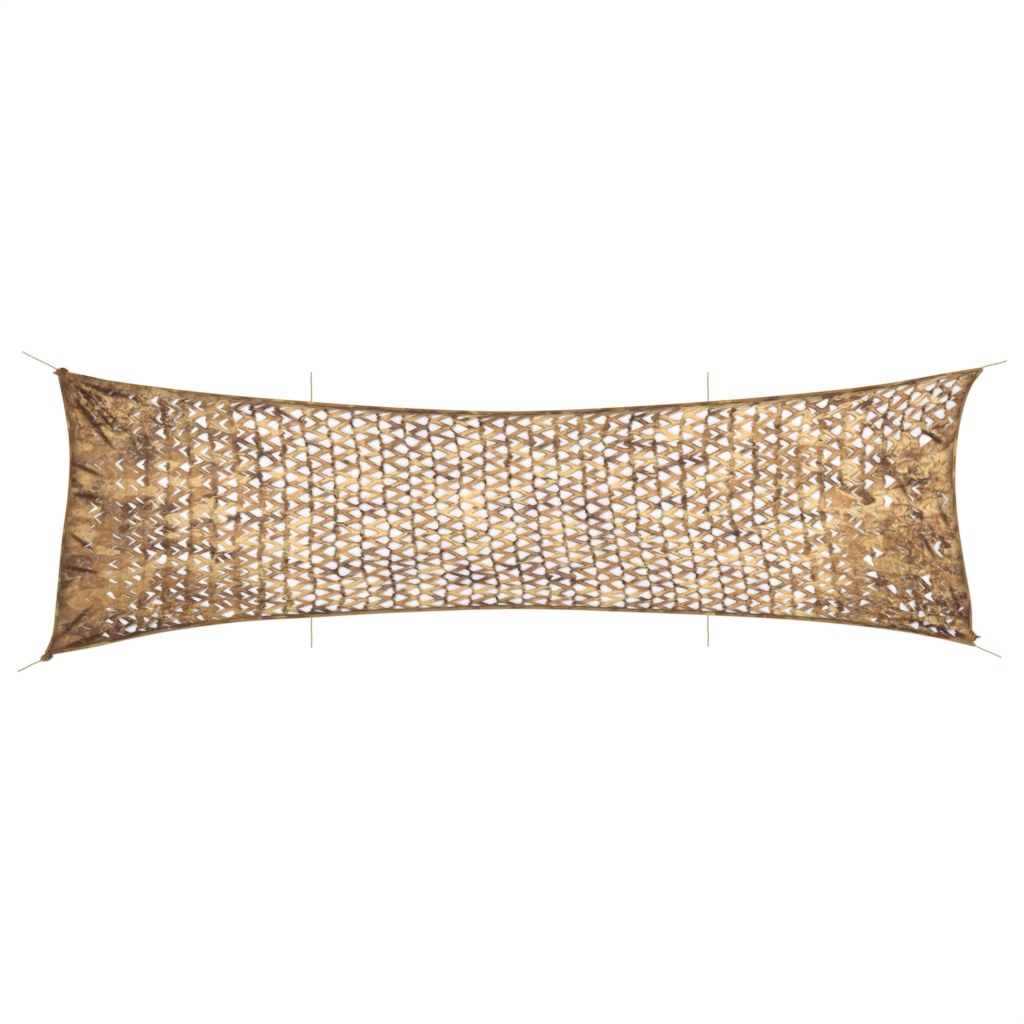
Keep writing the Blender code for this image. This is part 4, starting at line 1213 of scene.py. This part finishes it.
def make_hem(material):
    path = hem_path(HEM_STEP)
    inward, mitre = inward_from(path)
    along = length_along(path)
    wave = 0.5 + 0.5 * np.sin(along * 23.0 + 2.0 * np.sin(along * 3.1))
    wide = HEM_WIDE * (1 + 0.05 * np.sin(along * 31.0) + 0.04 * np.sin(along * 11.3))
    points, uvs, shade = [], [], []
    for across, rise in HEM_PROFILE:
        place = path + inward * (across * wide * mitre)[:, None]
        points.append(np.column_stack([place, HEM_LEAST + (HEM_THICK + HEM_WAVE * wave) * rise]))
        uvs.append(np.column_stack([along, np.full(len(along), across * HEM_WIDE)]))
        # Painted shade on the hem's inner side, and a painted highlight on its outer fold.
        inner = HEM_INNER_SHADE if across > HEM_DARK_FROM else 0.0
        shade.append(np.full(len(along), HEM_FOLD_HIGHLIGHT if across < HEM_FOLD_UNTIL else inner))
    # Painted shade on the hem, growing towards its left end.
    slack_shade = np.tile(np.clip((HEM_SHADE_FROM - path[:, 0]) / HEM_SHADE_OVER, 0, 1), len(HEM_PROFILE))
    faces = [(a, d, c, b) for a, b, c, d in ring_faces(len(HEM_PROFILE), len(path), closed=True)]
    looks = {"shade": np.concatenate(shade), "slack_shade": slack_shade}
    hem = add_mesh("hem_band", np.concatenate(points), faces, material, np.concatenate(uvs), looks)
    outward_faces(hem)
    return registered(hem)


def hem_seam():
    """The line that the stitches follow, along the hem's inner edge."""
    path = hem_path(SEAM_STEP)
    inward, mitre = inward_from(path)
    line = path + inward * (HEM_WIDE * STITCH_ACROSS * mitre)[:, None]
    curve = bpy.data.curves.new("hem_seam", "CURVE")
    curve.dimensions = "3D"
    spline = curve.splines.new("POLY")
    spline.points.add(len(line) - 1)
    for point, (x, y) in zip(spline.points, line):
        point.co = (x, y, HEM_THICK * STITCH_HIGH, 1.0)
    spline.use_cyclic_u = True
    return add_object("hem_seam", curve)


def stitch_tree(material):
    """Geometry nodes that set stitches along a curve, and the identifiers of their pitch and size."""
    tree = bpy.data.node_groups.new("stitch_row", "GeometryNodeTree")
    tree.interface.new_socket("Geometry", in_out="INPUT", socket_type="NodeSocketGeometry")
    pitch = tree.interface.new_socket("Pitch", in_out="INPUT", socket_type="NodeSocketFloat")
    size = tree.interface.new_socket("Size", in_out="INPUT", socket_type="NodeSocketVector")
    tree.interface.new_socket("Geometry", in_out="OUTPUT", socket_type="NodeSocketGeometry")
    start, end, spaced, stitch, shaped, placed, real, finish = (tree.nodes.new(kind) for kind in (
        "NodeGroupInput", "NodeGroupOutput", "GeometryNodeCurveToPoints", "GeometryNodeMeshUVSphere",
        "GeometryNodeTransform", "GeometryNodeInstanceOnPoints", "GeometryNodeRealizeInstances",
        "GeometryNodeSetMaterial",
    ))
    spaced.mode = "LENGTH"
    for name, value in (("Segments", 6), ("Rings", 4), ("Radius", 0.5)):
        stitch.inputs[name].default_value = value
    finish.inputs["Material"].default_value = material
    for source, out, target, into in (
        (start, "Geometry", spaced, "Curve"), (start, "Pitch", spaced, "Length"),
        (start, "Size", shaped, "Scale"), (stitch, "Mesh", shaped, "Geometry"),
        (spaced, "Points", placed, "Points"), (spaced, "Rotation", placed, "Rotation"),
        (shaped, "Geometry", placed, "Instance"), (placed, "Instances", real, "Geometry"),
        (real, "Geometry", finish, "Geometry"), (finish, "Geometry", end, "Geometry"),
    ):
        tree.links.new(source.outputs[out], target.inputs[into])
    return tree, pitch.identifier, size.identifier


def make_stitches(material):
    """A row of stitches along the hem's inner edge."""
    seam = hem_seam()
    tree, pitch, size = stitch_tree(material)
    modifier = seam.modifiers.new("stitch_row", "NODES")
    modifier.node_group = tree
    modifier[pitch], modifier[size] = STITCH_PITCH, STITCH_SIZE
    evaluated = seam.evaluated_get(bpy.context.evaluated_depsgraph_get())
    mesh = bpy.data.meshes.new_from_object(evaluated)
    mesh.name = "hem_stitches"
    mesh.shade_smooth()
    bpy.data.objects.remove(seam)
    return registered(add_object("hem_stitches", mesh))


def make_bunch(name, outline, high, pleats_turn, material):
    """A corner's bunch of gathered cloth: a low dome with pleats across it."""
    start = np.array(outline)
    before, end, after = np.roll(start, 1, 0), np.roll(start, -1, 0), np.roll(start, -2, 0)
    steps = [spline_part(before, start, end, after, t) for t in np.arange(BUNCH_STEPS) / BUNCH_STEPS]
    rim = np.stack(steps, axis=1).reshape(-1, 2)
    centre = rim.mean(axis=0)
    rings = []
    for share in np.cos(np.linspace(0.0, 0.5 * np.pi, BUNCH_RINGS + 1)[:-1]):
        place = centre + (rim - centre) * share
        along = (place - centre) @ (math.cos(pleats_turn), math.sin(pleats_turn))
        across = (place - centre) @ (-math.sin(pleats_turn), math.cos(pleats_turn))
        fold = np.abs(np.cos(np.pi * BUNCH_PLEATS * across / BUNCH_WIDE + 12.0 * along))
        rise = high * math.sqrt(1 - share**2) * (0.66 + 0.34 * fold)
        # The fourth column is painted shade in the grooves between the pleats.
        rings.append(np.column_stack([place, 0.0004 + rise, (1 - fold) ** 2]))
    made = np.concatenate([*rings, [[*centre, high * 0.95, 0.0]]])
    count = len(rim)
    last, top = (BUNCH_RINGS - 1) * count, len(made) - 1
    faces = ring_faces(BUNCH_RINGS, count)
    faces += [(last + i, last + (i + 1) % count, top) for i in range(count)]
    faces.append(tuple(range(count))[::-1])
    bunch = add_mesh(name + "_bunch", made[:, :3], faces, material, None, {"shade": made[:, 3] * 0.85})
    outward_faces(bunch)
    return registered(bunch, name)


def smooth_route(route):
    """Places on a smooth curve through a route's own, and the directions there."""
    knots = np.array([(x, y, CORD_DIAMETER / 2) for x, y in route])
    knots = np.concatenate([[2 * knots[0] - knots[1]], knots, [2 * knots[-1] - knots[-2]]])
    places = []
    for k in range(1, len(knots) - 2):
        parts = max(round(np.linalg.norm(knots[k + 1] - knots[k]) / CORD_STEP), 1)
        places.append(spline_part(*knots[k - 1 : k + 3], (np.arange(parts) / parts)[:, None]))
    places = np.concatenate([*places, knots[-2][None, :]])
    return places, np.gradient(places, axis=0)


def twisted_cord(name, places, directions, material):
    """A laid cord along its places: its strands show as a fluted, twisting surface. Also its length."""
    directions = directions / np.linalg.norm(directions, axis=1)[:, None]
    across = np.cross(directions, (0.0, 0.0, 1.0))
    across /= np.maximum(np.linalg.norm(across, axis=1), 1e-9)[:, None]
    over = np.cross(across, directions)
    length = length_along(places)
    lines, strand = [], []
    for k in range(CORD_SIDES):
        angle = 2 * np.pi * k / CORD_SIDES
        bulge = np.abs(np.cos(STRANDS * (angle - 2 * np.pi * length / LAY_LENGTH) / 2))
        r = CORD_DIAMETER / 2 * (1 - CORD_FLUTE + CORD_FLUTE * bulge)
        lines.append(places + across * (r * np.cos(angle))[:, None] + over * (r * np.sin(angle))[:, None])
        strand.append(bulge)
    points = np.stack(lines, axis=1).reshape(-1, 3)
    faces = ring_faces(len(places), CORD_SIDES)
    faces.append(tuple(range(CORD_SIDES))[::-1])
    faces.append(tuple((len(places) - 1) * CORD_SIDES + k for k in range(CORD_SIDES)))
    made = add_mesh(name, points, faces, material, None, {"strand": np.stack(strand, axis=1).ravel()})
    outward_faces(made)
    return made, length[-1]


def make_cord(name, route, material):
    places, directions = smooth_route(route)
    cord, length = twisted_cord(name + "_cord", places, directions, material)
    registered(cord, name)
    path = [tuple(p) for p in places[::10]] + [tuple(places[-1])]


# Studio

VIEW_WIDE = 5.535            # width of floor that the camera takes in
VIEW_CENTRE = (0.001, 0.0108)
LENS = 120.0
SENSOR = 36.0
FLOOR_HALF = 30.0
FLOOR_UNDER = 0.0006
SKY = (1.0, 0.955, 0.90, 1.0)
SKY_STRENGTH = 0.80
KEY = (0.97, 0.985, 1.0)
KEY_ENERGY = 1.35
KEY_WIDE = math.radians(12)
KEY_TILT = math.radians(-24)


def make_camera():
    data = bpy.data.cameras.new("camera")
    data.lens, data.sensor_width = LENS, SENSOR
    data.clip_end = 100.0
    camera = add_object("camera", data)
    camera.location = (*VIEW_CENTRE, VIEW_WIDE * LENS / SENSOR)
    bpy.context.scene.camera = camera


def make_studio():
    corners = [(x * FLOOR_HALF, y * FLOOR_HALF, 0.0) for x, y in ((-1, -1), (1, -1), (1, 1), (-1, 1))]
    floor = add_mesh("floor", corners, [(0, 1, 2, 3)], floor_finish())
    floor.location.z = -FLOOR_UNDER
    world = bpy.data.worlds.new("studio")
    world.use_nodes = True
    sky = world.node_tree.nodes["Background"]
    sky.inputs["Color"].default_value = SKY
    sky.inputs["Strength"].default_value = SKY_STRENGTH
    bpy.context.scene.world = world
    key = bpy.data.lights.new("key", "SUN")
    key.energy, key.angle, key.color = KEY_ENERGY, KEY_WIDE, KEY
    add_object("key", key).rotation_euler = (KEY_TILT, KEY_TILT, 0.0)
    bpy.context.scene.view_settings.view_transform = "Standard"


def main():
    make_camera()
    make_studio()
    cord = cord_finish()
    cloth = cloth_finish()
    hem_cloth = hem_finish()
    for name, route in CORDS:
        make_cord(name, route, cord)
    net = make_net(cloth)
    hem = make_hem(hem_cloth)
    stitches = make_stitches(thread_finish())
    bunched = bunch_finish()
    for name, outline, high, pleats_turn in BUNCHES:
        make_bunch(name, outline, high, pleats_turn, bunched)


main()
